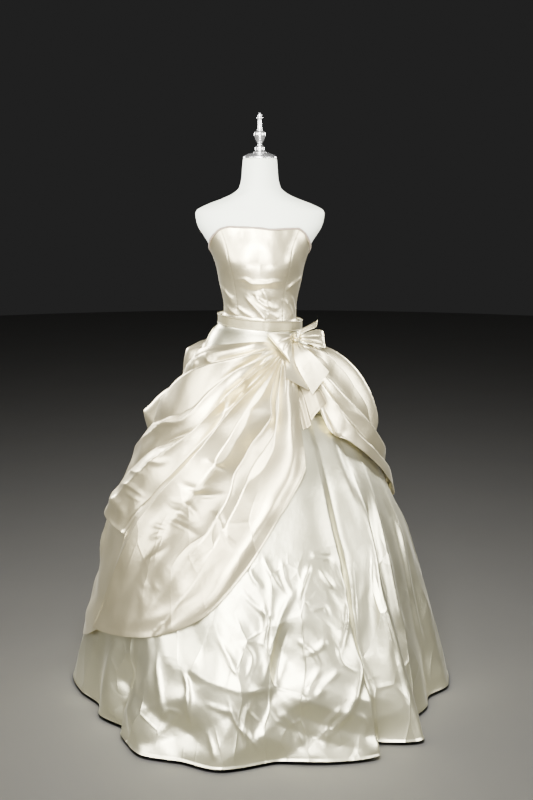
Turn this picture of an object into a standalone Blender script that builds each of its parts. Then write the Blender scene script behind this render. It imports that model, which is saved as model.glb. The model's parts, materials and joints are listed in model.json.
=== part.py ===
"""Strapless satin ball gown with a draped overskirt, on a limbless dress form.

Metres, +Z up. The origin is the centre of the underside of the stand's base. The front
of the gown looks along -Y. An angle of 0 degrees is the centre front, and positive
angles go towards +X. Every cloth piece is a thin wall. "Lift" is the distance of a
piece's outer face from the skirt's own outer face.
"""

import math
from collections import namedtuple

import bpy
import numpy as np

# ---------------------------------------------------------------- driving sizes
CLOTH = 0.0015            # thickness of skirt, drapes and ribbons
BODICE_CLOTH = 0.0018     # thickness of the bodice panels
SEAM_GAP = 0.0003         # clearance between sewn pieces
SEAT_LIFT = 0.0022        # lift of a drape where it is sewn down on the skirt
WAIST_GAP = 0.0013        # clearance between the torso and the bodice at the waist
CHEST_GAP = 0.0024        # and over the rounder chest

WAIST_HEIGHT = 1.1275     # middle of the belt
WAIST_TILT = 0.010        # the belt is this much higher at -X and lower at +X
HEM_HEIGHT = 0.012
SKIRT_SEAMS = (-42, 42, 111, 180, 249, 318)
SKIRT_COLUMN = 4.6        # degrees between two columns of the skirt's mesh
SKIRT_ROWS = (0, 0.0137, 0.032, 0.10, 0.20, 0.32, 0.45, 0.60, 0.76, 0.90, 1.0)

BASE_RADIUS = 0.165
BASE_THICKNESS = 0.020
POLE_RADIUS = 0.014

# ---------------------------------------------------------------- tables
# Outline of the skirt without its flutes, and its depth as a share of its width.
Level = namedtuple("Level", "height radius depth")
SKIRT_LEVELS = (
    Level(0.000, 0.586, 1.00),
    Level(0.100, 0.562, 1.00),
    Level(0.200, 0.535, 1.00),
    Level(0.300, 0.507, 1.00),
    Level(0.400, 0.476, 1.00),
    Level(0.500, 0.443, 1.00),
    Level(0.600, 0.399, 1.00),
    Level(0.700, 0.352, 1.00),
    Level(0.800, 0.302, 0.96),
    Level(0.900, 0.247, 0.91),
    Level(1.000, 0.188, 0.86),
    Level(1.046, 0.163, 0.84),
    Level(1.075, 0.150, 0.82),
    Level(1.098, 0.135, 0.81),
    Level(1.112, 0.1229, 0.80),
    Level(1.150, 0.1222, 0.80),
)

# Crests and valleys of the flutes: how far the hem stands out of its circle there.
Flute = namedtuple("Flute", "angle out")
FLUTES = (
    Flute(-180, -0.018), Flute(-166, 0.018), Flute(-152, -0.030), Flute(-138, 0.016),
    Flute(-125, -0.026), Flute(-112, 0.014), Flute(-100, -0.022), Flute(-88, 0.004),
    Flute(-76, -0.024), Flute(-65, -0.058), Flute(-55, -0.036), Flute(-47, -0.060),
    Flute(-41, -0.024), Flute(-30, 0.022), Flute(-21, 0.003), Flute(-12, 0.017),
    Flute(6, -0.032), Flute(29, 0.027), Flute(34, -0.040), Flute(44, 0.043),
    Flute(53, -0.050), Flute(62, -0.038), Flute(71, -0.050), Flute(80, 0.002),
    Flute(90, 0.006), Flute(100, -0.022), Flute(112, 0.014), Flute(124, -0.030),
    Flute(137, 0.018), Flute(151, -0.026), Flute(165, 0.016), Flute(180, -0.018),
)

# Height of the overskirt's lower edge; the flutes grow out from a little above it.
Edge = namedtuple("Edge", "angle height")
OVERSKIRT_EDGE = (
    Edge(-180, 0.36), Edge(-140, 0.28), Edge(-100, 0.20), Edge(-66, 0.24),
    Edge(-36, 0.30), Edge(-18, 0.38), Edge(0, 0.56), Edge(10, 0.66), Edge(24, 0.78),
    Edge(44, 0.80), Edge(60, 0.77), Edge(75, 0.70), Edge(90, 0.62), Edge(110, 0.57),
    Edge(140, 0.47), Edge(180, 0.36),
)
FLUTE_FADE = 0.16         # height over that edge at which the flutes have died away

# Horizontal sections of the torso.
Section = namedtuple("Section", "height half_width front back")
TORSO = (
    Section(0.862, 0.118, 0.074, 0.080),
    Section(0.872, 0.138, 0.088, 0.094),
    Section(0.900, 0.147, 0.096, 0.104),
    Section(0.940, 0.150, 0.100, 0.110),
    Section(0.990, 0.145, 0.099, 0.112),
    Section(1.040, 0.132, 0.094, 0.106),
    Section(1.090, 0.114, 0.086, 0.094),
    Section(1.135, 0.1035, 0.082, 0.079),
    Section(1.170, 0.1035, 0.083, 0.073),
    Section(1.200, 0.107, 0.087, 0.073),
    Section(1.240, 0.1155, 0.096, 0.078),
    Section(1.275, 0.1215, 0.105, 0.083),
    Section(1.310, 0.1305, 0.110, 0.089),
    Section(1.336, 0.1405, 0.109, 0.092),
    Section(1.365, 0.154, 0.102, 0.093),
    Section(1.395, 0.175, 0.090, 0.091),
    Section(1.420, 0.1845, 0.081, 0.087),
    Section(1.440, 0.1870, 0.073, 0.081),
    Section(1.452, 0.182, 0.069, 0.077),
    Section(1.462, 0.164, 0.065, 0.073),
    Section(1.472, 0.141, 0.062, 0.070),
    Section(1.485, 0.106, 0.059, 0.066),
    Section(1.500, 0.076, 0.055, 0.062),
    Section(1.515, 0.060, 0.052, 0.058),
    Section(1.545, 0.0525, 0.050, 0.053),
    Section(1.580, 0.0500, 0.048, 0.050),
    Section(1.598, 0.0480, 0.047, 0.047),
)
BUST_ANGLE, BUST_HEIGHT, BUST_OUT = 27.0, 1.305, 0.011
BUST_HALF_ANGLE, BUST_HALF_HEIGHT = 22.0, 0.042

# Upper edge of the bodice.
NECKLINE = (
    Edge(-180, 1.300), Edge(-130, 1.308), Edge(-95, 1.330), Edge(-78, 1.348),
    Edge(-60, 1.372), Edge(-48, 1.388), Edge(-37, 1.403), Edge(-27, 1.409),
    Edge(0, 1.406), Edge(10, 1.402), Edge(28, 1.404), Edge(35, 1.404),
    Edge(45, 1.393), Edge(55, 1.377), Edge(75, 1.351), Edge(95, 1.330),
    Edge(130, 1.308), Edge(180, 1.300),
)

# Bodice panels between their seams, and the columns of each.
Panel = namedtuple("Panel", "name start end columns")
BODICE_PANELS = (
    Panel("bodice_centre_front", -38, 38, 9),
    Panel("bodice_side_front_right", 38, 88, 6),
    Panel("bodice_side_back_right", 88, 134, 4),
    Panel("bodice_back_right", 134, 180, 4),
    Panel("bodice_back_left", 180, 226, 4),
    Panel("bodice_side_back_left", 226, 272, 4),
    Panel("bodice_side_front_left", 272, 322, 6),
)
BODICE_ROWS = 11
BODICE_FLARE = 0.0125     # how far the lower edge flares to meet the skirt
FLARE_HEIGHT = 0.018      # height over which it flares
CHEST_RISE = (1.18, 1.25)  # heights between which the waist's gap grows to the chest's
BODICE_SEAM_RADIUS = 0.11
BINDING_WIDTH, BINDING_THICKNESS = 0.0055, 0.0016
BINDING_SPILL = 0.0012    # how far the binding stands over the bodice's edge
BINDING_GAP = 0.0005

BELT_HEIGHT, BELT_THICKNESS = 0.0304, 0.0018
BELT_GAP = 0.0007         # clearance between the waist and the belt
WELT_HEIGHT, WELT_THICKNESS, WELT_SLOPE = 0.0045, 0.0030, 0.0006
BELT_COLUMN = 9           # degrees between two columns of the belt

# Raised creases of the bodice: a smooth ridge along a line of (angle, height) places.
Crease = namedtuple("Crease", "name height width path")
BODICE_CREASES = (
    Crease("under the bust", 0.0035, 0.010, ((-34, 1.268), (-8, 1.245), (34, 1.250))),
    Crease("at the waist", 0.0030, 0.009, ((-28, 1.215), (-2, 1.175), (8, 1.150))),
    Crease("left side", 0.0025, 0.009, ((-80, 1.245), (-55, 1.200), (-40, 1.180))),
    Crease("right side", 0.0025, 0.008, ((36, 1.225), (60, 1.250), (80, 1.265))),
)

# Rays of a drape: lines that fan out from the bow, each through five places.
Ray = namedtuple("Ray", "name places")
Place = namedtuple("Place", "angle height lift")


def ray(name, *places):
    """A ray from five (angle, height, lift) places."""
    return Ray(name, tuple(Place(*place) for place in places))


FRONT_RAYS = (
    ray("front edge", (29, 1.040, SEAT_LIFT), (28, 0.971, 0.018), (25, 0.900, 0.020),
        (23, 0.830, 0.020), (22, 0.752, 0.016)),
    ray("strip", (27, 1.043, SEAT_LIFT), (22, 0.950, 0.020), (18, 0.860, 0.024),
        (13, 0.760, 0.024), (8, 0.640, 0.014)),
    ray("wide valley", (25, 1.047, SEAT_LIFT), (17, 0.950, 0.020), (10, 0.840, 0.022),
        (2, 0.690, 0.024), (-6, 0.494, 0.014)),
    ray("lower corner", (23, 1.051, SEAT_LIFT), (10, 0.950, 0.020), (-1, 0.820, 0.022),
        (-10, 0.640, 0.026), (-18, 0.384, 0.014)),
    ray("lobe", (21, 1.055, SEAT_LIFT), (0, 0.962, 0.022), (-14, 0.820, 0.024),
        (-25, 0.600, 0.028), (-36, 0.308, 0.016)),
    ray("lobe side", (19, 1.059, SEAT_LIFT), (-8, 0.945, 0.026), (-27, 0.800, 0.028),
        (-44, 0.590, 0.028), (-66, 0.250, 0.016)),
    ray("long ridge", (17, 1.063, SEAT_LIFT), (-12, 0.945, 0.028), (-32, 0.800, 0.030),
        (-47, 0.630, 0.032), (-59, 0.440, 0.022)),
    ray("notch", (15, 1.067, SEAT_LIFT), (-16, 0.950, 0.028), (-38, 0.810, 0.032),
        (-50, 0.690, 0.034), (-58, 0.535, 0.028)),
    ray("swag", (13, 1.071, SEAT_LIFT), (-20, 0.962, 0.028), (-46, 0.855, 0.030),
        (-68, 0.720, 0.040), (-80, 0.536, 0.044)),
    ray("swag side", (11, 1.075, SEAT_LIFT), (-23, 0.992, 0.024), (-54, 0.910, 0.026),
        (-80, 0.790, 0.030), (-101, 0.542, 0.046)),
    ray("shoulder", (10, 1.079, SEAT_LIFT), (-24, 1.035, 0.016), (-56, 0.990, 0.022),
        (-80, 0.910, 0.028), (-97, 0.730, 0.034)),
    ray("upper edge", (8, 1.084, SEAT_LIFT), (-22, 1.078, SEAT_LIFT),
        (-46, 1.070, SEAT_LIFT), (-70, 1.052, 0.010), (-90, 1.020, 0.018)),
)
FRONT_COLUMNS, FRONT_ROWS = 33, 17

RIGHT_RAYS = (
    ray("front edge", (33, 1.050, SEAT_LIFT), (33, 1.000, 0.018), (34, 0.960, 0.022),
        (35, 0.925, 0.022), (36, 0.895, 0.018)),
    ray("hook", (35, 1.054, SEAT_LIFT), (37, 0.990, 0.020), (39, 0.930, 0.024),
        (40, 0.880, 0.024), (41, 0.838, 0.018)),
    ray("fold", (37, 1.058, SEAT_LIFT), (42, 0.985, 0.022), (46, 0.915, 0.026),
        (50, 0.855, 0.024), (54, 0.800, 0.018)),
    ray("middle", (39, 1.062, SEAT_LIFT), (51, 0.990, 0.024), (58, 0.910, 0.028),
        (64, 0.830, 0.028), (70, 0.730, 0.020)),
    ray("side", (41, 1.067, SEAT_LIFT), (59, 1.005, 0.024), (69, 0.920, 0.030),
        (78, 0.800, 0.032), (88, 0.628, 0.027)),
    ray("side back", (43, 1.072, SEAT_LIFT), (64, 1.020, 0.024), (77, 0.935, 0.032),
        (88, 0.800, 0.036), (100, 0.592, 0.030)),
    ray("upper edge", (45, 1.078, SEAT_LIFT), (68, 1.035, 0.022), (82, 0.955, 0.034),
        (94, 0.790, 0.042), (110, 0.575, 0.030)),
)
RIGHT_COLUMNS, RIGHT_ROWS = 18, 13

# Folds of the drapes: ridges (height above 0) and valleys along (angle, height) places.
# The width grows from a third at the bow to its full value.
FRONT_FOLDS = (
    Crease("long ridge", 0.024, 0.024, ((17, 1.044), (2, 0.988), (-9, 0.936),
           (-19, 0.872), (-27, 0.806), (-42, 0.681), (-49, 0.577), (-57, 0.440))),
    Crease("shade beside it", -0.014, 0.022, ((-24, 0.865), (-40, 0.745),
           (-52, 0.610))),
    Crease("bow valley", -0.012, 0.020, ((21, 1.041), (-3, 0.960), (-11, 0.921),
           (-14, 0.816))),
    Crease("inner ridge", 0.012, 0.018, ((20, 0.997), (2, 0.947), (6, 0.859),
           (-5, 0.798), (-11, 0.689))),
    Crease("wide valley", -0.010, 0.032, ((17, 0.971), (12, 0.934), (8, 0.859),
           (-6, 0.714), (-16, 0.539))),
    Crease("front strip", 0.008, 0.016, ((25, 1.009), (22, 0.932), (18, 0.832),
           (17, 0.745))),
    Crease("second roll", 0.014, 0.014, ((8, 1.075), (-18, 1.047), (-36, 1.027),
           (-56, 0.998), (-78, 0.950))),
    Crease("teardrop valley", -0.010, 0.020, ((11, 1.064), (-29, 1.008),
           (-54, 0.931))),
    Crease("hip ridge", 0.012, 0.016, ((-24, 1.032), (-49, 0.989), (-61, 0.955),
           (-64, 0.897), (-59, 0.833), (-71, 0.792), (-81, 0.687))),
    Crease("swag ridge", 0.010, 0.016, ((-7, 1.000), (-17, 0.978), (-31, 0.957),
           (-44, 0.898), (-59, 0.833))),
    Crease("rolled edge", 0.012, 0.018, ((18, 0.760), (8, 0.664), (-1, 0.570),
           (-8, 0.490), (-15, 0.410))),
    Crease("swag end", 0.010, 0.020, ((-60, 0.570), (-70, 0.590), (-84, 0.592),
           (-98, 0.590))),
)
RIGHT_FOLDS = (
    Crease("upper ridge", 0.010, 0.012, ((50, 1.062), (68, 1.020), (80, 0.965),
           (83, 0.920), (86, 0.843))),
    Crease("middle ridge", 0.010, 0.016, ((54, 1.010), (63, 0.940), (69, 0.892),
           (77, 0.800))),
    Crease("front ridge", 0.012, 0.016, ((41, 1.010), (45, 0.923), (50, 0.850),
           (76, 0.745))),
    Crease("lower roll", 0.006, 0.014, ((38, 0.880), (44, 0.842), (53, 0.820),
           (61, 0.793), (70, 0.752), (82, 0.690), (92, 0.650))),
)

# Puffs of the bustle.
Puff = namedtuple("Puff", "name angle half_angle top bottom height")
PUFFS = (
    Puff("right", 114, 27, 1.040, 0.750, 0.086),
    Puff("upper back", 178, 50, 1.085, 0.910, 0.070),
    Puff("lower back", 178, 50, 0.915, 0.690, 0.088),
    Puff("upper left", 238, 30, 1.058, 0.920, 0.064),
    Puff("lower left", 239, 29, 0.925, 0.770, 0.098),
)
BUSTLE_EDGE = (
    Edge(72, 0.760), Edge(90, 0.660), Edge(110, 0.595), Edge(140, 0.480),
    Edge(180, 0.370), Edge(220, 0.280), Edge(258, 0.195), Edge(274, 0.165),
    Edge(286, 0.200), Edge(298, 0.260),
)
BUSTLE_START, BUSTLE_END, BUSTLE_END_TOP = 72.0, 298.0, 276.0
BUSTLE_COLUMNS, BUSTLE_ROWS = 29, 21
BUSTLE_TOP = 1.0985
HANG_LIFT = (0.008, 0.020)  # lift of the plain cloth under the drapes and in the open

# The cascade under the bow: columns of (angle, upper height, lower height, lift).
Fall = namedtuple("Fall", "angle top bottom lift")
CASCADE_SEAT = 0.0029     # lift of its upper edge
CASCADE_ROWS = 5
CASCADE = (
    Fall(25.5, 0.962, 0.852, 0.0075),
    Fall(28.0, 0.965, 0.852, 0.0090),
    Fall(30.5, 0.968, 0.858, 0.0160),
    Fall(33.0, 0.970, 0.878, 0.0100),
    Fall(35.5, 0.972, 0.890, 0.0100),
    Fall(38.5, 0.974, 0.897, 0.0085),
)

# Bow. Its pieces are drawn by x and z on a slanted face in front of the drapes, which
# goes back with the distance to the knot's side and comes forward below the knot.
KNOT = (0.103, 1.095)     # x and z of the knot's middle
KNOT_SIZE = (0.022, 0.0550, 0.028)
KNOT_LIFT = 0.0045
FACE_Y = -0.095           # y of the slanted face at the knot
FACE_TURN, FACE_BEND, FACE_LEAN = 0.37, 1.7, 0.62
RIBBON = 0.0012           # thickness of the bow's satin
LAYER_GAP = 0.0045        # between a loop's two layers at the knot
Loop = namedtuple("Loop", "name root root_height tip_high tip_low puff lift arch")
BOW_LOOPS = (
    Loop("bow_loop_left", (0.0920, 1.0950), 0.020, (0.0190, 1.1055), (0.0850, 1.0320),
         0.014, 0.005, 0.0),
    Loop("bow_loop_right", (0.1145, 1.0930), 0.018, (0.1850, 1.1040), (0.1900, 1.0600),
         0.013, 0.003, 0.0066),
    Loop("bow_loop_upper", (0.1112, 1.1062), 0.007, (0.1680, 1.1330), (0.1635, 1.1200),
         0.004, -0.002, 0.0),
)
LOOP_ROWS, LOOP_COLUMNS = 5, 4

# Tails: their left and right edges through (x, z, lift) places, from the knot down.
Tail = namedtuple("Tail", "name left right")
TAILS = (
    Tail("bow_tail_front",
         ((0.0985, 1.0815, 0.006), (0.0985, 1.0440, 0.022), (0.1490, 0.9460, 0.036)),
         ((0.1120, 1.0810, 0.006), (0.1460, 1.0560, 0.018), (0.1970, 1.0050, 0.028))),
    Tail("bow_tail_back",
         ((0.0870, 1.0810, -0.004), (0.0745, 1.0260, 0.004), (0.0730, 0.9920, 0.020)),
         ((0.1020, 1.0805, -0.004), (0.1180, 1.0400, 0.008), (0.1380, 0.9580, 0.025))),
)
TAIL_ROWS, TAIL_COLUMNS = 6, 4

# Finial profile: height over the neck cap and radius, from the top down.
Turn = namedtuple("Turn", "height radius")
FINIAL = (
    Turn(0.1120, 0.0000), Turn(0.1110, 0.0026), Turn(0.1060, 0.0052),
    Turn(0.1010, 0.0062), Turn(0.0985, 0.0085), Turn(0.0950, 0.0085),
    Turn(0.0925, 0.0058), Turn(0.0760, 0.0052), Turn(0.0640, 0.0064),
    Turn(0.0600, 0.0120), Turn(0.0560, 0.0165), Turn(0.0460, 0.0158),
    Turn(0.0330, 0.0115), Turn(0.0240, 0.0062), Turn(0.0190, 0.0068),
    Turn(0.0160, 0.0120), Turn(0.0120, 0.0138), Turn(0.0070, 0.0130),
    Turn(0.0030, 0.0180), Turn(0.0000, 0.0200),
)
NECK_CAP = (
    Turn(0.0150, 0.0000), Turn(0.0150, 0.0200), Turn(0.0120, 0.0340),
    Turn(0.0070, 0.0440), Turn(0.0020, 0.0485), Turn(0.0000, 0.0485),
)
SCREW_STEPS = 16

# ---------------------------------------------------------------- materials
Finish = namedtuple("Finish", "colour roughness metallic")
FINISHES = {
    "satin": Finish((0.80, 0.74, 0.64, 1), 0.35, 0.0),
    "binding": Finish((0.62, 0.55, 0.45, 1), 0.45, 0.0),
    "form": Finish((0.88, 0.88, 0.86, 1), 0.45, 0.0),
    "chrome": Finish((0.75, 0.75, 0.76, 1), 0.12, 1.0),
    "stand_paint": Finish((0.80, 0.80, 0.79, 1), 0.40, 0.0),
}


def clear_scene():
    """Remove every object of the open scene."""
    for existing in list(bpy.data.objects):
        bpy.data.objects.remove(existing, do_unlink=True)


def make_materials():
    """One Principled material for each finish."""
    made = {}
    for name, finish in FINISHES.items():
        material = bpy.data.materials.new(name)
        material.use_nodes = True
        shader = material.node_tree.nodes["Principled BSDF"]
        shader.inputs["Base Color"].default_value = finish.colour
        shader.inputs["Roughness"].default_value = finish.roughness
        shader.inputs["Metallic"].default_value = finish.metallic
        made[name] = material
    return made


# ---------------------------------------------------------------- curves and folds
def smooth(known, values, at):
    """Monotone cubic curve through (known, values), read at the places `at`.

    `values` may hold several columns, which are read together.
    """
    known = np.asarray(known, float)
    values = np.asarray(values, float)
    at = np.asarray(at, float)
    extra = (1,) * (values.ndim - 1)
    step = np.diff(known)
    slope = np.diff(values, axis=0) / step.reshape(-1, *extra)
    before, after = slope[:-1], slope[1:]
    turns = before * after <= 0
    total = np.where(turns, 1.0, before + after)
    tangent = np.zeros_like(values)
    tangent[1:-1] = np.where(turns, 0.0, 2 * before * after / total)
    tangent[0], tangent[-1] = slope[0], slope[-1]
    index = np.clip(np.searchsorted(known, at, side="right") - 1, 0, len(step) - 1)
    share = np.clip((at - known[index]) / step[index], 0, 1).reshape(*at.shape, *extra)
    width = step[index].reshape(*at.shape, *extra)
    low, high = values[index], values[index + 1]
    bend_low, bend_high = tangent[index] * width, tangent[index + 1] * width
    square, cube = share ** 2, share ** 3
    return (low * (2 * cube - 3 * square + 1) + high * (3 * square - 2 * cube)
            + bend_low * (cube - 2 * square + share) + bend_high * (cube - square))


def column(table, field):
    """One named column of a table."""
    return [getattr(row, field) for row in table]


def ease(value, start, end):
    """0 before start, 1 after end, and a smooth step between them."""
    share = np.clip((value - start) / (end - start), 0, 1)
    return share * share * (3 - 2 * share)


def wrapped(angle):
    """The same angle between -180 and 180 degrees."""
    return (np.asarray(angle, float) + 180) % 360 - 180


def fold_lift(points, fold, place, root_share):
    """Height of one fold at each point, a soft bump over its path's nearest place.

    The path is drawn on the surface by `place(angle, height)`. The bump swells from
    the path's start, and its width grows from root_share of its full width.
    """
    path = np.array(fold.path, float)
    known = np.linspace(0, 1, len(path))
    share = np.linspace(0, 1, 4 * len(path))
    line = place(*smooth(known, path, share).T)
    start, along = line[:-1], np.diff(line, axis=0)
    length = (along ** 2).sum(1)
    flat = points.reshape(-1, 1, 3)
    part = np.clip(((flat - start) * along).sum(2) / length, 0, 1)
    distance = np.linalg.norm(flat - start - part[..., None] * along, axis=2)
    nearest = distance.argmin(1)
    rows = np.arange(len(nearest))
    travelled = (nearest + part[rows, nearest]) / len(length)
    swell = ease(travelled, 0, 0.25) * (1 - 0.8 * ease(travelled, 0.75, 1.0))
    width = fold.width * (root_share + (1 - root_share) * ease(travelled, 0, 0.6))
    bump = fold.height * swell * np.exp(-(distance[rows, nearest] / width) ** 2)
    return bump.reshape(points.shape[:-1])


# ---------------------------------------------------------------- the skirt's surface
def waist_tilt(angle):
    """How much higher the waistline is at this angle than its middle."""
    return -WAIST_TILT * np.sin(np.radians(angle))


def skirt_radius(angle, height):
    """Radius of the skirt without flutes, its slope, and its depth share."""
    near_waist = ease(height, 1.00, 1.10)
    level = height - waist_tilt(angle) * near_waist
    heights = column(SKIRT_LEVELS, "height")
    radius = smooth(heights, column(SKIRT_LEVELS, "radius"), level)
    above = smooth(heights, column(SKIRT_LEVELS, "radius"), level + 0.01)
    below = smooth(heights, column(SKIRT_LEVELS, "radius"), level - 0.01)
    depth = smooth(heights, column(SKIRT_LEVELS, "depth"), level)
    return radius, (above - below) / 0.02, depth


def flute_out(angle, height):
    """How far the flutes move the skirt outwards."""
    turned = wrapped(angle)
    out = smooth(column(FLUTES, "angle"), column(FLUTES, "out"), turned)
    edge = smooth(column(OVERSKIRT_EDGE, "angle"), column(OVERSKIRT_EDGE, "height"),
                  turned)
    fade = edge + FLUTE_FADE
    grown = np.clip((fade - height) / (fade - HEM_HEIGHT), 0, 1)
    return out * grown ** 1.3


def skirt_point(angle, height, lift=0.0, flutes=0.0):
    """Points over the skirt at these angles and heights, moved out by the lift."""
    angle, height, lift = np.broadcast_arrays(angle, height, lift)
    radius, slope, depth = skirt_radius(angle, height)
    if flutes:
        radius = radius + flutes * flute_out(angle, height)
    steep = np.sqrt(1 + slope ** 2)
    out, up = lift / steep, -slope * lift / steep
    turn = np.radians(angle)
    x = (radius + out) * np.sin(turn)
    y = -(radius * depth + out) * np.cos(turn)
    return np.stack([x, y, height + up], axis=-1)


def on_skirt(angle, height):
    """Places on the skirt's plain surface."""
    return skirt_point(angle, height)


# ---------------------------------------------------------------- the body's surface
def body_point(angle, height, out=0.0):
    """Points of the torso's surface at these angles and heights, moved out."""
    angle, height, out = np.broadcast_arrays(angle, height, out)
    heights = column(TORSO, "height")
    half = smooth(heights, column(TORSO, "half_width"), height)
    front = smooth(heights, column(TORSO, "front"), height)
    back = smooth(heights, column(TORSO, "back"), height)
    turned = wrapped(angle)
    beside = (np.abs(turned) - BUST_ANGLE) / BUST_HALF_ANGLE
    over = (height - BUST_HEIGHT) / BUST_HALF_HEIGHT
    bust = BUST_OUT * np.exp(-beside ** 2 - over ** 2)
    turn = np.radians(turned)
    depth = np.where(np.cos(turn) > 0, front, back)
    x = (half + bust + out) * np.sin(turn)
    y = -(depth + bust + out) * np.cos(turn)
    return np.stack([x, y, height], axis=-1)


# ---------------------------------------------------------------- mesh makers
def new_object(name, points, faces, material, collection):
    """A mesh object from points and faces, shaded smooth."""
    mesh = bpy.data.meshes.new(name)
    mesh.from_pydata([tuple(map(float, point)) for point in points], [], faces)
    mesh.materials.append(material)
    mesh.shade_smooth()
    made = bpy.data.objects.new(name, mesh)
    collection.objects.link(made)
    return made


def wall(name, outer, inner, material, collection):
    """A cloth wall: a closed solid between two grids of matching points.

    Rows of the grids run downwards and columns towards growing angles, so that the
    outer face looks outwards.
    """
    rows, columns = outer.shape[:2]
    back = rows * columns
    faces = []
    for row in range(rows - 1):
        for place in range(columns - 1):
            corner = row * columns + place
            below, across = corner + columns, corner + columns + 1
            for half in ((corner, below, across), (corner, across, corner + 1)):
                faces.append(half)
                faces.append(tuple(back + index for index in reversed(half)))
    top = list(range(columns))
    right = [row * columns + columns - 1 for row in range(1, rows)]
    bottom = [(rows - 1) * columns + place for place in reversed(range(columns - 1))]
    left = [row * columns for row in reversed(range(1, rows - 1))]
    rim = top + right + bottom + left
    for here, there in zip(rim, rim[1:] + rim[:1]):
        faces.append((here, there, back + there, back + here))
    points = np.concatenate([outer.reshape(-1, 3), inner.reshape(-1, 3)])
    return new_object(name, points, faces, material, collection)


def rings_solid(name, rings, material, collection, joined=False):
    """A closed solid through rings of points, from the top ring to the bottom one.

    With `joined` the last ring meets the first, as in a hoop; otherwise both end
    rings are capped.
    """
    count, around = rings.shape[:2]
    faces = []
    for row in range(count if joined else count - 1):
        below = (row + 1) % count
        for place in range(around):
            beside = (place + 1) % around
            faces.append((row * around + place, below * around + place,
                          below * around + beside, row * around + beside))
    if not joined:
        faces.append(tuple(range(around)))
        last = (count - 1) * around
        faces.append(tuple(last + place for place in reversed(range(around))))
    return new_object(name, rings.reshape(-1, 3), faces, material, collection)


def turned_solid(name, profile, bottom, material, collection):
    """A solid of revolution about the Z axis from (height, radius) rows, top first."""
    points = [(turn.radius, 0.0, bottom + turn.height) for turn in profile]
    points.append((0.0, 0.0, bottom + profile[-1].height))
    mesh = bpy.data.meshes.new(name)
    edges = [(place, place + 1) for place in range(len(points) - 1)]
    mesh.from_pydata(points, edges, [])
    mesh.materials.append(material)
    made = bpy.data.objects.new(name, mesh)
    collection.objects.link(made)
    screw = made.modifiers.new("turn", "SCREW")
    screw.steps = SCREW_STEPS
    screw.render_steps = SCREW_STEPS
    screw.use_merge_vertices = True
    screw.merge_threshold = 0.0001
    screw.use_smooth_shade = True
    return made


# ---------------------------------------------------------------- stand
def make_stand(materials, collection):
    """Base, pole, torso, neck cap and finial."""
    base_rim = 0.004
    base = (Turn(BASE_THICKNESS, 0.0), Turn(BASE_THICKNESS, BASE_RADIUS - base_rim),
            Turn(BASE_THICKNESS - base_rim, BASE_RADIUS), Turn(0.0, BASE_RADIUS))
    turned_solid("stand_base", base, 0.0, materials["stand_paint"], collection)

    pole_foot = BASE_THICKNESS + SEAM_GAP
    pole_length = TORSO[0].height - SEAM_GAP - pole_foot
    pole = (Turn(pole_length, 0.0), Turn(pole_length, POLE_RADIUS),
            Turn(0.0, POLE_RADIUS))
    turned_solid("stand_pole", pole, pole_foot, materials["stand_paint"], collection)

    angles = body_angles()
    heights = np.array(column(TORSO, "height"))[::-1]
    rings = body_point(angles[None, :], heights[:, None])
    rings_solid("form_torso", rings, materials["form"], collection)

    cap_foot = TORSO[-1].height + SEAM_GAP
    turned_solid("neck_cap", NECK_CAP, cap_foot, materials["chrome"], collection)
    finial_foot = cap_foot + NECK_CAP[0].height + SEAM_GAP
    turned_solid("finial", FINIAL, finial_foot, materials["chrome"], collection)


def body_angles():
    """Angles of the mesh columns round the body, shared by torso and bodice."""
    angles = []
    for panel in BODICE_PANELS:
        angles.extend(np.linspace(panel.start, panel.end, panel.columns + 1)[:-1])
    return np.array(angles)


# ---------------------------------------------------------------- bodice
def neckline(angle):
    """Height of the bodice's upper edge."""
    return smooth(column(NECKLINE, "angle"), column(NECKLINE, "height"), wrapped(angle))


def bodice_gap(height):
    """Clearance between the torso and the bodice's inner face."""
    return WAIST_GAP + (CHEST_GAP - WAIST_GAP) * ease(height, *CHEST_RISE)


def bodice_grids(angle, share):
    """Outer and inner faces of the bodice; share 0 is its upper edge, 1 the waist."""
    top = neckline(angle)
    bottom = WAIST_HEIGHT + waist_tilt(angle) + SEAM_GAP
    height = top + (bottom - top) * share
    near_waist = ease(bottom + FLARE_HEIGHT - height, 0.0, FLARE_HEIGHT)
    out = bodice_gap(height) + BODICE_FLARE * near_waist
    plain = body_point(angle, height)
    for crease in BODICE_CREASES:
        out = out + fold_lift(plain, crease, body_point, 0.6)
    return body_point(angle, height, out + BODICE_CLOTH), body_point(angle, height, out)


def make_bodice(materials, collection):
    """Seven panels and the binding round their upper edge."""
    share = np.linspace(0, 1, BODICE_ROWS + 1)[:, None]
    for panel in BODICE_PANELS:
        angles = np.linspace(panel.start, panel.end, panel.columns + 1)
        half_gap = math.degrees(0.5 * SEAM_GAP / BODICE_SEAM_RADIUS)
        angles[0] += half_gap
        angles[-1] -= half_gap
        outer, inner = bodice_grids(angles[None, :], share)
        wall(panel.name, outer, inner, materials["satin"], collection)

    angles = body_angles()
    near = CHEST_GAP + BODICE_CLOTH + BINDING_GAP
    section = ((BINDING_SPILL, near), (BINDING_SPILL, near + BINDING_THICKNESS),
               (BINDING_SPILL - BINDING_WIDTH, near + BINDING_THICKNESS),
               (BINDING_SPILL - BINDING_WIDTH, near))
    rings = [body_point(angles, neckline(angles) + rise, out) for rise, out in section]
    rings_solid("neckline_binding", np.array(rings), materials["binding"], collection,
                joined=True)


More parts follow.
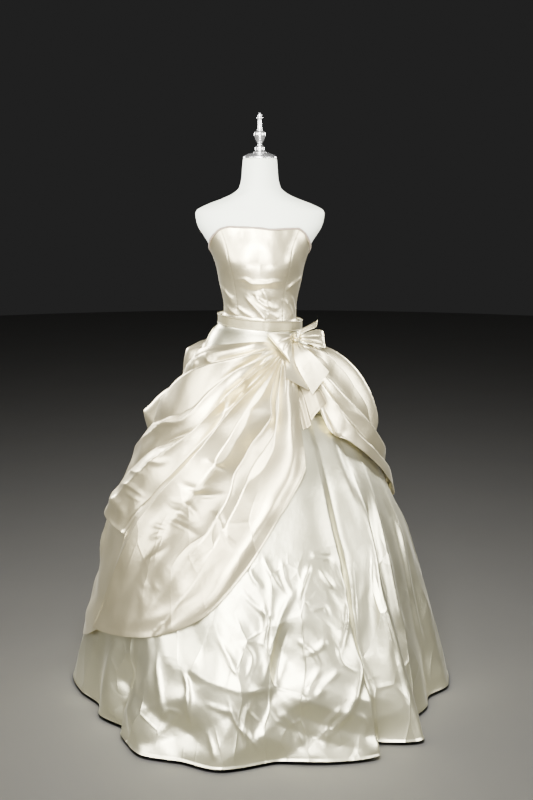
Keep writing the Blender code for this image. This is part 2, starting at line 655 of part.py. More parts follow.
# ---------------------------------------------------------------- belt and skirt
def make_belt(materials, collection):
    """A band with a raised welt along both edges."""
    edge, step = BELT_HEIGHT / 2, BELT_HEIGHT / 2 - WELT_HEIGHT
    section = ((edge, 0.0), (edge, WELT_THICKNESS), (step, WELT_THICKNESS),
               (step - WELT_SLOPE, BELT_THICKNESS), (WELT_SLOPE - step, BELT_THICKNESS),
               (-step, WELT_THICKNESS), (-edge, WELT_THICKNESS), (-edge, 0.0))
    angles = np.arange(0, 360, BELT_COLUMN)
    waist = SKIRT_LEVELS[-2]
    turn = np.radians(angles)
    rings = []
    for rise, out in section:
        reach = BELT_GAP + out
        x = (waist.radius + reach) * np.sin(turn)
        y = -(waist.radius * waist.depth + reach) * np.cos(turn)
        z = WAIST_HEIGHT + waist_tilt(angles) + rise
        rings.append(np.stack([x, y, z], axis=-1))
    rings_solid("belt", np.array(rings), materials["satin"], collection, joined=True)


def make_skirt(materials, collection):
    """Five flared panels from the waist to the hem."""
    names = ("skirt_front", "skirt_side_right", "skirt_back_right", "skirt_back_left",
             "skirt_side_left")
    share = np.array(SKIRT_ROWS)
    for name, start, end in zip(names, SKIRT_SEAMS[:-1], SKIRT_SEAMS[1:]):
        count = round((end - start) / SKIRT_COLUMN)
        angles = np.linspace(start, end, count + 1)[None, :]
        top = WAIST_HEIGHT + waist_tilt(angles) - SEAM_GAP
        height = top + (HEM_HEIGHT - top) * share[:, None]
        angles = angles + 0 * height
        radius = skirt_radius(angles, height)[0]
        half_gap = np.degrees(0.5 * SEAM_GAP / radius)
        angles[:, 0] += half_gap[:, 0]
        angles[:, -1] -= half_gap[:, -1]
        outer = skirt_point(angles, height, 0.0, flutes=1.0)
        inner = skirt_point(angles, height, -CLOTH, flutes=1.0)
        wall(name, outer, inner, materials["satin"], collection)


# ---------------------------------------------------------------- overskirt
def fan(rays, columns, rows, folds):
    """Outer points of a drape: rows go out along its rays, columns from ray to ray."""
    table = np.array([[tuple(place) for place in one.places] for one in rays])
    steps = np.linspace(0, 1, table.shape[1])
    share = np.linspace(0, 1, rows + 1)
    along = smooth(steps, table.transpose(1, 0, 2), share)
    across = np.linspace(0, len(rays) - 1, columns + 1)
    grid = smooth(range(len(rays)), along.transpose(1, 0, 2), across)
    grid = grid.transpose(1, 0, 2)
    angle, height, lift = grid[..., 0], grid[..., 1], grid[..., 2]
    plain = on_skirt(angle, height)
    folded = sum(fold_lift(plain, fold, on_skirt, 0.35) for fold in folds)
    lift = np.maximum(lift + folded * ease(share, 0.0, 0.12)[:, None], 0.6 * lift)
    return skirt_point(angle, height, lift), skirt_point(angle, height, lift - CLOTH)


def bustle_lift(angle, height):
    """Lift of the bustle: a plain hanging sheet with puffs behind the hips."""
    loose = ease(height, 0.34, 0.46) * (1 - ease(height, 1.00, 1.08))
    upper = ease(height, 0.58, 0.68)
    left = (1 - ease(angle, 276, 292)) * (1 - upper) + (1 - ease(angle, 254, 264)) * upper
    hang = HANG_LIFT[0] + (HANG_LIFT[1] - HANG_LIFT[0]) * (
        loose * left * ease(angle, 84, 98))
    total = hang ** 3
    for puff in PUFFS:
        aside = np.abs(angle - puff.angle) / puff.half_angle
        window = 1 - ease(aside, 0.5, 1.0)
        share = np.clip((puff.top - height) / (puff.top - puff.bottom), 0, 1)
        swell = np.sqrt(np.maximum(np.sin(math.pi * share ** 1.1), 0))
        total = total + (puff.height * window * swell) ** 3
    return np.cbrt(total)


def make_overskirt(materials, collection):
    """Front drape, right drape, bustle and cascade."""
    satin = materials["satin"]
    outer, inner = fan(FRONT_RAYS, FRONT_COLUMNS, FRONT_ROWS, FRONT_FOLDS)
    wall("drape_front", outer[:, ::-1], inner[:, ::-1], satin, collection)
    outer, inner = fan(RIGHT_RAYS, RIGHT_COLUMNS, RIGHT_ROWS, RIGHT_FOLDS)
    wall("drape_right", outer, inner, satin, collection)

    share = np.linspace(0, 1, BUSTLE_ROWS + 1)[:, None]
    start = BUSTLE_START + 0 * share
    end = BUSTLE_END_TOP + (BUSTLE_END - BUSTLE_END_TOP) * ease(share, 0.35, 0.7)
    angle = start + (end - start) * np.linspace(0, 1, BUSTLE_COLUMNS + 1)[None, :]
    edge = smooth(column(BUSTLE_EDGE, "angle"), column(BUSTLE_EDGE, "height"), angle)
    top = BUSTLE_TOP + waist_tilt(angle)
    height = top + (edge - top) * share
    lift = SEAT_LIFT + (bustle_lift(angle, height) - SEAT_LIFT) * ease(share, 0, 0.05)
    wall("bustle", skirt_point(angle, height, lift),
         skirt_point(angle, height, lift - CLOTH), satin, collection)

    angle = np.array(column(CASCADE, "angle"))[None, :]
    top = np.array(column(CASCADE, "top"))[None, :]
    bottom = np.array(column(CASCADE, "bottom"))[None, :]
    share = np.linspace(0, 1, CASCADE_ROWS + 1)[:, None]
    height = top + (bottom - top) * share
    full = np.array(column(CASCADE, "lift"))[None, :]
    lift = CASCADE_SEAT + (full - CASCADE_SEAT) * ease(share, 0, 0.4)
    wall("cascade", skirt_point(angle, height, lift),
         skirt_point(angle, height, lift - CLOTH), satin, collection)


# ---------------------------------------------------------------- bow
def bow_point(x, z, lift):
    """A place on the bow's slanted face, moved towards the front by the lift."""
    x, z, lift = np.broadcast_arrays(x, z, lift)
    beside = x - KNOT[0]
    back = FACE_TURN * beside + FACE_BEND * beside ** 2
    y = FACE_Y + back - FACE_LEAN * (KNOT[1] - z) - lift
    return np.stack([x, y, z], axis=-1)


def make_loop(loop, satin, collection):
    """A loop of ribbon: a front layer out from the knot and a back layer home again.

    The upper edge rises by the loop's arch two thirds of the way out, and the front
    layer swells by its puff, most of all along the middle.
    """
    toward = np.linspace(0, 1, LOOP_ROWS)[:, None]
    over = np.linspace(0, 1, LOOP_COLUMNS + 1)[None, :]
    half = loop.root_height / 2
    x = (loop.root[0] + (loop.tip_high[0] - loop.root[0]) * toward) * (1 - over)
    x = x + (loop.root[0] + (loop.tip_low[0] - loop.root[0]) * toward) * over
    high = loop.root[1] + half + (loop.tip_high[1] - loop.root[1] - half) * toward
    high = high + loop.arch * 6.75 * toward ** 2 * (1 - toward)
    low = loop.root[1] - half + (loop.tip_low[1] - loop.root[1] + half) * toward
    z = high * (1 - over) + low * over
    bulge = np.sqrt(4 * toward * (1 - toward)) * (0.55 + 1.8 * over * (1 - over))
    front = bow_point(x, z, loop.lift + LAYER_GAP + loop.puff * (bulge + 0.3 * toward))
    back = bow_point(x, z, loop.lift)
    outer = np.concatenate([front, back[::-1]])
    shift = RIBBON * np.array((0.0, 1.0, 0.0))
    inner = np.concatenate([front + shift, back[::-1] - shift])
    pull = -np.sign(loop.tip_high[0] - loop.root[0]) * RIBBON
    inner[LOOP_ROWS - 1:LOOP_ROWS + 1, :, 0] += pull
    if loop.tip_high[0] < loop.root[0]:
        outer, inner = outer[:, ::-1], inner[:, ::-1]
    wall(loop.name, outer.transpose(1, 0, 2), inner.transpose(1, 0, 2), satin,
         collection)


def make_bow(materials, collection):
    """Knot, three loops and two tails."""
    satin = materials["satin"]
    for loop in BOW_LOOPS:
        make_loop(loop, satin, collection)

    down = np.linspace(0, 1, TAIL_ROWS + 1)
    across = np.linspace(0, 1, TAIL_COLUMNS + 1)[None, :, None]
    for tail in TAILS:
        left = smooth((0, 0.45, 1), tail.left, down)[:, None]
        right = smooth((0, 0.45, 1), tail.right, down)[:, None]
        x, z, lift = np.moveaxis(left + (right - left) * across, -1, 0)
        wall(tail.name, bow_point(x, z, lift), bow_point(x, z, lift - RIBBON), satin,
             collection)

    bpy.ops.mesh.primitive_uv_sphere_add(segments=14, ring_count=8, radius=0.5)
    knot = bpy.context.object
    knot.name = "bow_knot"
    for vertex in knot.data.vertices:
        vertex.co.x *= KNOT_SIZE[0]
        vertex.co.y *= KNOT_SIZE[1]
        vertex.co.z *= KNOT_SIZE[2]
    knot.location = bow_point(KNOT[0], KNOT[1], KNOT_LIFT)
    knot.data.materials.append(satin)
    knot.data.shade_smooth()
    for holder in list(knot.users_collection):
        holder.objects.unlink(knot)
    collection.objects.link(knot)


def build():
    """Model the gown and its stand."""
    clear_scene()
    collection = bpy.data.collections.new("ball_gown")
    bpy.context.scene.collection.children.link(collection)
    materials = make_materials()
    make_stand(materials, collection)
    make_bodice(materials, collection)
    make_belt(materials, collection)
    make_skirt(materials, collection)
    make_overskirt(materials, collection)
    make_bow(materials, collection)


build()
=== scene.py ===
"""Looks of a strapless satin ball gown on a limbless dress form.

The file follows the gown as it is put together: stand, bodice, belt, skirt, overskirt,
bow, and then the studio. +Z is up and the gown looks along -Y. An angle of 0 degrees is
the centre front, and positive angles go towards +X. Formulas are in metres. The tables
of shapes are in degrees and millimetres, unless the comment beside them says otherwise.
"""

import json
import math

import bpy
import numpy as np
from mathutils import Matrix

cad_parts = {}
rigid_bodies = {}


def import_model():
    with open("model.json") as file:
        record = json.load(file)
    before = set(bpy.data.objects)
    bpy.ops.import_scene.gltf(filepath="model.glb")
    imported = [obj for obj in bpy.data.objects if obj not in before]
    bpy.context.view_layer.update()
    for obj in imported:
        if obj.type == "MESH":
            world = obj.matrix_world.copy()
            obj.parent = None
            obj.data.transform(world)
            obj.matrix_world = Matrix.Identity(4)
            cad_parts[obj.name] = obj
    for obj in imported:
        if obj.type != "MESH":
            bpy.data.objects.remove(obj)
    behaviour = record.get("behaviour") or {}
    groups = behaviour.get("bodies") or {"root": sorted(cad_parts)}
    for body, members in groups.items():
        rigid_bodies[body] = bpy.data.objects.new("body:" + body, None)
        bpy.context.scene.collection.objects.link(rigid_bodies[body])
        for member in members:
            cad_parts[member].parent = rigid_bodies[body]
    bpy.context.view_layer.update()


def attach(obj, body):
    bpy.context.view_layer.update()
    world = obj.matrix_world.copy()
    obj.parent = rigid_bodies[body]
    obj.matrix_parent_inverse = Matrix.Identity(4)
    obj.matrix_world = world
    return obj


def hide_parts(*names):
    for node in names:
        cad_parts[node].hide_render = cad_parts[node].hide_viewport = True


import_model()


# ------------------------------------------------------------------ base and pole
# A round steel plate with a rolled edge and a tube screwed into it, both powder coated
# white. They carry the padded torso and are hidden by the skirt.

def curve(known, values, at):
    """Monotone cubic through (known, values), read at `at`.

    Each span is the Hermite cubic whose end slopes are the harmonic mean of the two
    neighbouring chords, or 0 where the chords change sign.
    """
    known, values, at = (np.asarray(one, float) for one in (known, values, at))
    extra = (1,) * (values.ndim - 1)
    step = np.diff(known)
    slope = np.diff(values, axis=0) / step.reshape((-1,) + extra)
    before, after = slope[:-1], slope[1:]
    turns = before * after <= 0
    total = np.where(turns, 1.0, before + after)
    tangent = np.zeros_like(values)
    tangent[1:-1] = np.where(turns, 0.0, 2 * before * after / total)
    tangent[0], tangent[-1] = slope[0], slope[-1]
    index = np.clip(np.searchsorted(known, at, side="right") - 1, 0, len(step) - 1)
    share = np.clip((at - known[index]) / step[index], 0, 1).reshape(at.shape + extra)
    width = step[index].reshape(at.shape + extra)
    square, cube = share ** 2, share ** 3
    return (values[index] * (2 * cube - 3 * square + 1)
            + values[index + 1] * (3 * square - 2 * cube)
            + tangent[index] * width * (cube - 2 * square + share)
            + tangent[index + 1] * width * (cube - square))


def ringed(turn, wide, deep, height):
    """Points x = wide sin(turn), y = -deep cos(turn) at a height: ellipses round +Z."""
    place = wide * np.sin(turn), -deep * np.cos(turn), height
    return np.stack(np.broadcast_arrays(*place), -1)


def travelled(line):
    """How far along a line of points each point is."""
    return np.append(0, np.cumsum(np.linalg.norm(np.diff(line, axis=0), axis=1)))


def in_metres(rows, plain=1):
    """A table as an array, in which all but the first `plain` columns go from mm to m."""
    table = np.array(rows, float)
    table[..., plain:] /= 1000
    return table


def add(tree, kind, inputs, **settings):
    """A shader node whose sockets take these values or are linked to these sockets."""
    made = tree.nodes.new("ShaderNode" + kind)
    for name, value in settings.items():
        setattr(made, name, value)
    for name, value in inputs.items():
        if isinstance(value, bpy.types.NodeSocket):
            tree.links.new(value, made.inputs[name])
        else:
            made.inputs[name].default_value = value
    return made


def result(tree, operation, one, other, kind="Math"):
    """The result of an operation on two numbers or sockets."""
    return add(tree, kind, {0: one, 1: other}, operation=operation).outputs[0]


def mapped(tree, value, start, end, low=0.0, high=1.0, **settings):
    """A value that goes from low to high while the socket goes from start to end."""
    return add(tree, "MapRange", {0: value, 1: start, 2: end, 3: low, 4: high},
               **settings).outputs[0]


def shader_group(name, inputs, outputs):
    """An empty node group with its float inputs (a vector where the default is None),
    and the sockets that it is given and that it gives."""
    group = bpy.data.node_groups.new(name, "ShaderNodeTree")
    for socket, default in inputs.items():
        kind = "NodeSocketVector" if default is None else "NodeSocketFloat"
        made = group.interface.new_socket(socket, in_out="INPUT", socket_type=kind)
        if default is not None:
            made.default_value = default
    for socket in outputs:
        group.interface.new_socket(socket, in_out="OUTPUT",
                                   socket_type="NodeSocketFloat")
    return (group, group.nodes.new("NodeGroupInput").outputs,
            group.nodes.new("NodeGroupOutput").inputs)


def smudge_group():
    """Soft uneven marks: two layers of noise, as a mask about 0.5 and a fine height."""
    group, given, gives = shader_group("smudges", {"Place": None, "Scale": 20.0},
                                       ("Mark", "Height"))
    broad = add(group, "TexNoise", {"Vector": given["Place"], "Scale": given["Scale"],
                                    "Detail": 3.0, "Roughness": 0.55})
    finer = result(group, "MULTIPLY", given["Scale"], 9.0)
    fine = add(group, "TexNoise", {"Vector": given["Place"], "Scale": finer,
                                   "Detail": 2.0})
    group.links.new(broad.outputs["Fac"], gives["Mark"])
    group.links.new(fine.outputs["Fac"], gives["Height"])
    return group


SMUDGES = smudge_group()


def placed(tree, group, place, **values):
    """A node group in a material, read at this place, with these values."""
    made = tree.nodes.new("ShaderNodeGroup")
    made.node_tree = group
    tree.links.new(place, made.inputs["Place"])
    for name, value in values.items():
        made.inputs[name].default_value = value
    return made


def raised(tree, height, distance, strength, over=None):
    """The normal of a bump of this height, on top of another normal if there is one."""
    bump = add(tree, "Bump", {"Height": height, "Distance": distance,
                              "Strength": strength})
    if over is not None:
        tree.links.new(over, bump.inputs["Normal"])
    return bump.outputs["Normal"]


def smudged(name, tone, roughness, metallic, scale, tones, gloss, constants=None):
    """A material whose colour drifts between two tones, and its roughness between two
    values, as the smudges go from 0.3 to 0.7."""
    material = bpy.data.materials.new(name)
    material.use_nodes = True
    tree = material.node_tree
    shader = tree.nodes["Principled BSDF"]
    constants = {"Base Color": (*tone, 1), "Roughness": roughness,
                 "Metallic": metallic, **(constants or {})}
    for socket, value in constants.items():
        shader.inputs[socket].default_value = value
    place = tree.nodes.new("ShaderNodeTexCoord")
    marks = placed(tree, SMUDGES, place.outputs["Object"], Scale=scale)
    mask = marks.outputs["Mark"]
    if tones:
        mix = add(tree, "Mix", {0: mask, 6: (*tones[0], 1), 7: (*tones[1], 1)},
                  data_type="RGBA")
        tree.links.new(mix.outputs[2], shader.inputs["Base Color"])
    if gloss:
        tree.links.new(mapped(tree, mask, 0.3, 0.7, *gloss), shader.inputs["Roughness"])
    return material, tree, shader, place, marks


def grained(name, tone, roughness, metallic, scale, tones, gloss, grain, distance,
            strength=1.0, constants=None):
    """A smudged material with a raised grain. The grain is a texture, its inputs and
    its settings, or None for the smudges' own fine height."""
    made, tree, shader, place, marks = smudged(name, tone, roughness, metallic, scale,
                                               tones, gloss, constants)
    height = marks.outputs["Height"]
    if grain:
        kind, inputs, settings = grain
        inputs = {"Vector": place.outputs["Object"], **inputs}
        height = add(tree, kind, inputs, **settings).outputs["Fac"]
    tree.links.new(raised(tree, height, distance, strength), shader.inputs["Normal"])
    return made


def mesh_piece(name, points, faces, material, corners=None):
    """A smooth shaded object at the origin, with the UV places of its face corners.

    Edges with a single face are marked sharp, so a cut edge keeps its own normals.
    """
    mesh = bpy.data.meshes.new(name)
    mesh.from_pydata(points.reshape(-1, 3).tolist(), [], faces)
    if corners is not None:
        mesh.uv_layers.new(name="cloth")
        mesh.uv_layers["cloth"].data.foreach_set("uv", corners.astype(np.float32).ravel())
    mesh.materials.append(material)
    mesh.shade_smooth()
    used = np.empty(len(mesh.loops), np.int32)
    mesh.loops.foreach_get("edge_index", used)
    lone = np.bincount(used, minlength=len(mesh.edges)) == 1
    mesh.attributes.new("sharp_edge", "BOOLEAN", "EDGE").data.foreach_set("value", lone)
    made = bpy.data.objects.new(name, mesh)
    bpy.context.scene.collection.objects.link(made)
    return made


def quads(rows, columns, around=False, hoop=False):
    """Row and column of the four corners of each quad in a grid of points. `around`
    goes on from the last column to the first, `hoop` from the last row to the first."""
    row, column = np.meshgrid(np.arange(rows - 1 + hoop), np.arange(columns - 1 + around),
                              indexing="ij")
    return [(row + below, column + aside)
            for below, aside in ((0, 0), (1, 0), (1, 1), (0, 1))]


def rings_piece(name, rings, material):
    """A closed solid through rings of points from its top to its bottom.

    The rings are joined by quads, and a fan of triangles to its middle closes each end.
    """
    count, around = rings.shape[:2]
    faces = np.stack([row * around + column % around
                      for row, column in quads(count, around, around=True)], -1)
    faces = faces.reshape(-1, 4).tolist()
    top, last = count * around, (count - 1) * around
    for step in range(around):
        following = (step + 1) % around
        faces.append((top, step, following))
        faces.append((top + 1, last + following, last + step))
    points = np.concatenate([rings.reshape(-1, 3), rings[0].mean(0)[None],
                             rings[-1].mean(0)[None]])
    return mesh_piece(name, points, faces, material)


def turned_piece(name, profile, foot, material, steps=96, rows=0):
    """A solid of revolution from (height, radius) rows in mm, the top one first.

    With rows, the profile is read along its own length from a smooth curve.
    """
    profile = in_metres(profile, 0)
    if rows:
        length = travelled(profile)
        profile = curve(length, profile, np.linspace(0, length[-1], rows))
    turn = np.linspace(0, 2 * math.pi, steps, endpoint=False)
    height, radius = profile[:, :1], np.maximum(profile[:, 1:], 1e-4)
    return rings_piece(name, ringed(turn, radius, radius, foot + height), material)


def fixed(piece, slot, *nodes):
    """The piece rides on the only body and stands for these nodes. The slot is not used.
    """
    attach(piece, "root")
    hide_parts(*nodes)


# White powder coat: a faint orange peel and dull handling marks.
coat = grained("powder_coat", (0.80, 0.80, 0.79), 0.40, 0.0, 9.0,
               ((0.77, 0.77, 0.75), (0.83, 0.83, 0.82)), (0.34, 0.50),
               ("TexNoise", {"Scale": 600.0}, {}), 0.0002)
base_profile = (
    (20, 0), (20, 150), (19.5, 158.5), (17.5, 162.5), (14, 164.5), (10, 165), (3, 165),
    (0, 164.5))
fixed(turned_piece("base_plate", base_profile, 0.0, coat), "stand_paint", "stand_base")
BASE_TOP, POLE_LENGTH = 0.020, 841.7
pole_profile = ((POLE_LENGTH, 0), (POLE_LENGTH, 14), (30.3, 14), (30, 13.9), (29.7, 14),
                (0.3, 14))
fixed(turned_piece("pole_tube", pole_profile, BASE_TOP, coat, 48), "stand_paint",
      "stand_pole")


# ------------------------------------------------------------------ torso
# A padded shell with a tight white jersey cover. It has no arms or head, and the cloth
# is pulled smooth over the bust, the shoulders and the neck.

TORSO_SECTIONS = in_metres((   # height, half width, front depth, back depth
    (862, 118, 74, 80), (872, 138, 88, 94), (900, 147, 96, 104), (940, 150, 100, 110),
    (990, 145, 99, 112), (1040, 132, 94, 106), (1090, 114, 86, 94), (1135, 103.5, 82, 79),
    (1170, 103.5, 83, 73), (1200, 107, 87, 73), (1240, 115.5, 96, 78),
    (1275, 121.5, 105, 83), (1310, 130.5, 110, 89), (1336, 140.5, 109, 92),
    (1365, 154, 102, 93), (1395, 175, 90, 91), (1420, 184.5, 81, 87), (1440, 187, 73, 81),
    (1452, 182, 69, 77), (1462, 164, 65, 73), (1472, 141, 62, 70), (1485, 106, 59, 66),
    (1500, 76, 55, 62), (1515, 60, 52, 58), (1545, 52.5, 50, 53), (1580, 50, 48, 50),
    (1598, 48, 47, 47)), 0)
BUST_ANGLE, BUST_HEIGHT, BUST_OUT = 27.0, 1.305, 0.011
BUST_HALF_ANGLE, BUST_HALF_HEIGHT = 22.0, 0.042


def ease(value, start, end):
    """0 before start, 1 after end, and 3s^2 - 2s^3 of the share s between them."""
    share = np.clip((value - start) / (end - start), 0, 1)
    return share * share * (3 - 2 * share)


def between(value, start, full, fade, end):
    """0 up to start, 1 from full to fade and 0 from end on, eased between them."""
    return ease(value, start, full) * (1 - ease(value, fade, end))


def read(table, at):
    """A table's other columns where its first column has this value, one by one."""
    return np.moveaxis(curve(table[:, 0], table[:, 1:], at), -1, 0)


def wrapped(angle):
    """The same angle between -180 and 180 degrees."""
    return (np.asarray(angle, float) + 180) % 360 - 180


def body_point(angle, height, out=0.0):
    """The torso: half ellipses with their own front and back depth at each height.

    The depths are a mean over up to 36 mm of height round the bust. Two bell curves
    beside the middle add the bust, and `out` moves the surface out.
    """
    step = 0.009 * between(height, 1.19, 1.23, 1.38, 1.41)
    half, front, back = sum(
        read(TORSO_SECTIONS, height + place * step) * part
        for place, part in ((-2, 0.15), (-1, 0.2), (0, 0.3), (1, 0.2), (2, 0.15)))
    turned = wrapped(angle)
    beside = (np.abs(turned) - BUST_ANGLE) / BUST_HALF_ANGLE
    over = (height - BUST_HEIGHT) / BUST_HALF_HEIGHT
    reach = BUST_OUT * np.exp(-beside ** 2 - over ** 2) + out
    turn = np.radians(turned)
    depth = np.where(np.cos(turn) > 0, front, back)
    return ringed(turn, half + reach, depth + reach, height)


torso_heights = np.concatenate([np.linspace(1.598, 1.290, 84),
                                np.linspace(1.282, 0.862, 26)])
torso_rings = body_point(np.arange(0, 360, 3.0)[None, :], torso_heights[:, None])

# White jersey: fine knitted ribs, matt, with a soft fuzz at grazing angles.
jersey = grained("white_jersey", (0.518, 0.555, 0.474), 0.55, 0.0, 7.0,
                 ((0.496, 0.533, 0.451), (0.540, 0.577, 0.496)), (0.48, 0.62),
                 ("TexWave", {"Scale": 300.0, "Distortion": 0.4},
                  {"bands_direction": "X"}), 0.0002, 0.4,
                 {"Sheen Weight": 0.25, "Sheen Roughness": 0.4})
fixed(rings_piece("torso_cover", torso_rings, jersey), "form", "form_torso")


# ------------------------------------------------------------------ neck cap and finial
# A pressed cap closes the neck, and a turned finial is screwed into it. Both are chrome
# plated and polished.

# Chrome: mirror bright, with faint cloth marks and fine turning lines.
chrome = grained("chrome", (0.622, 0.622, 0.629), 0.24, 0.92, 60.0, (), (0.18, 0.30),
                 ("TexWave", {"Scale": 500.0, "Distortion": 0.2},
                  {"bands_direction": "Z"}), 0.00004, 0.3)
CAP_FOOT, FINIAL_FOOT = 1.5983, 1.6136
cap_profile = (
    (15, 0), (15, 19.5), (14.6, 22.5), (13, 30), (10.5, 37.5), (7.5, 43.5), (5.2, 46.5),
    (4.6, 47), (4.3, 48.2), (3, 48.7), (1, 48.7), (0, 48))
fixed(turned_piece("neck_cap_chrome", cap_profile, CAP_FOOT, chrome), "chrome",
      "neck_cap")
finial_profile = (
    (112, 0), (111.4, 2), (109.5, 3.6), (107, 4.8), (104, 5.6), (101, 6), (99.8, 6.4),
    (99.2, 8.2), (97.5, 8.8), (95.5, 8.6), (94.7, 7), (93.5, 6), (90, 5.5), (84, 5.2),
    (76, 5.2), (70, 5.6), (65.5, 6.2), (64.5, 8), (63.2, 8.4), (62, 8), (61.2, 9.8),
    (59.5, 12.4), (57, 15.5), (54.5, 16.8), (50, 16.8), (45.5, 15.6), (39, 13.3),
    (33, 11.2), (28, 8.6), (24.5, 6.6), (22.2, 6.2), (20.5, 6.6), (19.5, 8.8), (18, 11.2),
    (16, 12.8), (13.5, 13.6), (11, 13.6), (8.8, 13), (7, 13.4), (5, 15.8), (3, 18.2),
    (1.2, 19.6), (0, 19.9))
fixed(turned_piece("finial_chrome", finial_profile, FINIAL_FOOT, chrome, 56, 130),
      "chrome", "finial")


# ------------------------------------------------------------------ bodice
# Seven boned satin panels, joined by princess, side and centre back seams. The seams are
# pressed flat and pucker a little, and the cloth creases across the waist.

def weave_group():
    """Satin weave: long floats side by side along V, with a slow ripple across them."""
    group, given, gives = shader_group("satin_weave", {"Place": None, "Threads": 1.0},
                                       ("Height",))
    spread = add(group, "VectorMath", {0: given["Place"], "Scale": given["Threads"]},
                 operation="SCALE").outputs[0]
    floats = add(group, "TexWave", {"Vector": spread, "Scale": 1.0, "Distortion": 0.3},
                 bands_direction="X")
    ties = add(group, "TexWave", {"Vector": spread, "Scale": 0.31}, bands_direction="Y")
    both = result(group, "MULTIPLY", floats.outputs["Fac"], ties.outputs["Fac"])
    group.links.new(both, gives["Height"])
    return group


def pressed_group():
    """Pressed creases: bowls as the squared distance to the middle of stretched, slightly
    bent cells, with a thin ridge on each border, in patches below the fade height."""
    group, given, gives = shader_group("pressed_creases", {
        "Place": None, "Scale": 14.0, "Fade": 0.6}, ("Height",))
    place, scale = given["Place"], given["Scale"]
    bend = add(group, "TexNoise", {"Vector": place, "Scale": 5.0, "Detail": 1.0})
    small = result(group, "MULTIPLY", bend.outputs["Color"], (0.06, 0.06, 0.06),
                   "VectorMath")
    bent = result(group, "ADD", place, small, "VectorMath")
    long = result(group, "MULTIPLY", bent, (1.0, 1.0, 0.34), "VectorMath")
    border = add(group, "TexVoronoi", {"Vector": long, "Scale": scale},
                 feature="DISTANCE_TO_EDGE")
    ridge = mapped(group, border.outputs["Distance"], 0.0, 0.05, 0.045, 0.0,
                   interpolation_type="SMOOTHSTEP")
    middle = add(group, "TexVoronoi", {"Vector": long, "Scale": scale})
    bowl = result(group, "POWER", middle.outputs["Distance"], 2.0)
    shape = result(group, "ADD", bowl, ridge)
    patch = add(group, "TexNoise", {"Vector": place, "Scale": 6.5, "Detail": 1.0})
    here = mapped(group, patch.outputs["Fac"], 0.38, 0.60)
    apart = add(group, "SeparateXYZ", {"Vector": place})
    above = result(group, "SUBTRACT", apart.outputs["Z"], given["Fade"])
    low = mapped(group, above, -0.12, 0.0, 1.0, 0.0)
    both = result(group, "MULTIPLY", shape, here)
    group.links.new(result(group, "MULTIPLY", both, low), gives["Height"])
    return group


SATIN_WEAVE, PRESSED = weave_group(), pressed_group()
THREADS = 380.0              # waves of the weave for each metre, times about 2 pi


def satin(name, light, dark, roughness, pressed, fade, metallic=0.92):
    """Duchess satin: weave, handling ripples, pressed creases of this height below the
    fade height, and a soft drift of tone and gloss."""
    made, tree, shader, place, marks = smudged(
        name, light, roughness, metallic, 8.0, (dark, light),
        (roughness - 0.03, roughness + 0.04),
        {"Sheen Weight": 0.06, "Sheen Roughness": 0.3, "Specular IOR Level": 0.6})
    weave = placed(tree, SATIN_WEAVE, place.outputs["UV"], Threads=THREADS)
    folded = placed(tree, PRESSED, place.outputs["Object"], Scale=13.0, Fade=fade)
    threads = raised(tree, weave.outputs["Height"], 0.00005, 0.35)
    ripples = raised(tree, marks.outputs["Height"], 0.0012, 0.30, threads)
    creases = raised(tree, folded.outputs["Height"], pressed, 1.0, ripples)
    tree.links.new(creases, shader.inputs["Normal"])
    return made


def cloth_piece(name, grid, material, thickness=0.0012, around=False, hoop=False):
    """Cloth over a grid of points: rows run downwards, columns to growing angles.

    UV places are metres along the middle row and the middle column, and a thickness
    goes inwards as a second layer. `around` and `hoop` close the grid, as in quads().
    """
    rows, columns = grid.shape[:2]
    across, down = (travelled(np.concatenate([line, line[:1]]))
                    for line in (grid[rows // 2], grid[:, columns // 2]))
    four = quads(rows, columns, around, hoop)
    faces = np.stack([row % rows * columns + column % columns
                      for row, column in four], -1).reshape(-1, 4).tolist()
    corners = np.stack([np.stack([across[column], down[row]], -1)
                        for row, column in four], -2)
    made = mesh_piece(name, grid, faces, material, corners)
    if thickness:
        shell = made.modifiers.new("thickness", "SOLIDIFY")
        shell.thickness = thickness
        shell.offset = -1.0
    return made


def drift(points, length, seed, waves=9):
    """A smooth uneven field of about that wavelength: sine waves in chance directions."""
    chance = np.random.default_rng(seed)
    direction = chance.normal(size=(waves, 3))
    direction /= np.linalg.norm(direction, axis=1)[:, None]
    pace = 2 * math.pi / (length * chance.uniform(0.7, 1.6, waves))
    phase = chance.uniform(0, 2 * math.pi, waves)
    return np.sin(points @ (direction * pace[:, None]).T + phase).sum(-1) / waves ** 0.5


def beside(points, line):
    """Distance of each point from a line, whether it lies to its left, and which share
    of the line's pieces comes before the nearest place."""
    spot = points[:, None, :]
    start, along = line[:-1], np.diff(line, axis=0)
    part = np.clip(((spot - start) * along).sum(2) / (along ** 2).sum(1), 0, 1)
    offset = spot - start - part[..., None] * along
    distance = np.linalg.norm(offset, axis=2)
    nearest = distance.argmin(1)
    rows = np.arange(len(nearest))
    side = np.cross(along[nearest], offset[rows, nearest]) * points * (1, 1, 0)
    passed = (nearest + part[rows, nearest]) / len(along)
    return distance[rows, nearest], side.sum(1) > 0, passed


def drawn(places, surface):
    """A smooth line on a surface through places of angle and height in mm."""
    steps = np.linspace(0, 1, 6 * len(places))
    return surface(*curve(np.linspace(0, 1, len(places)), in_metres(places), steps).T)


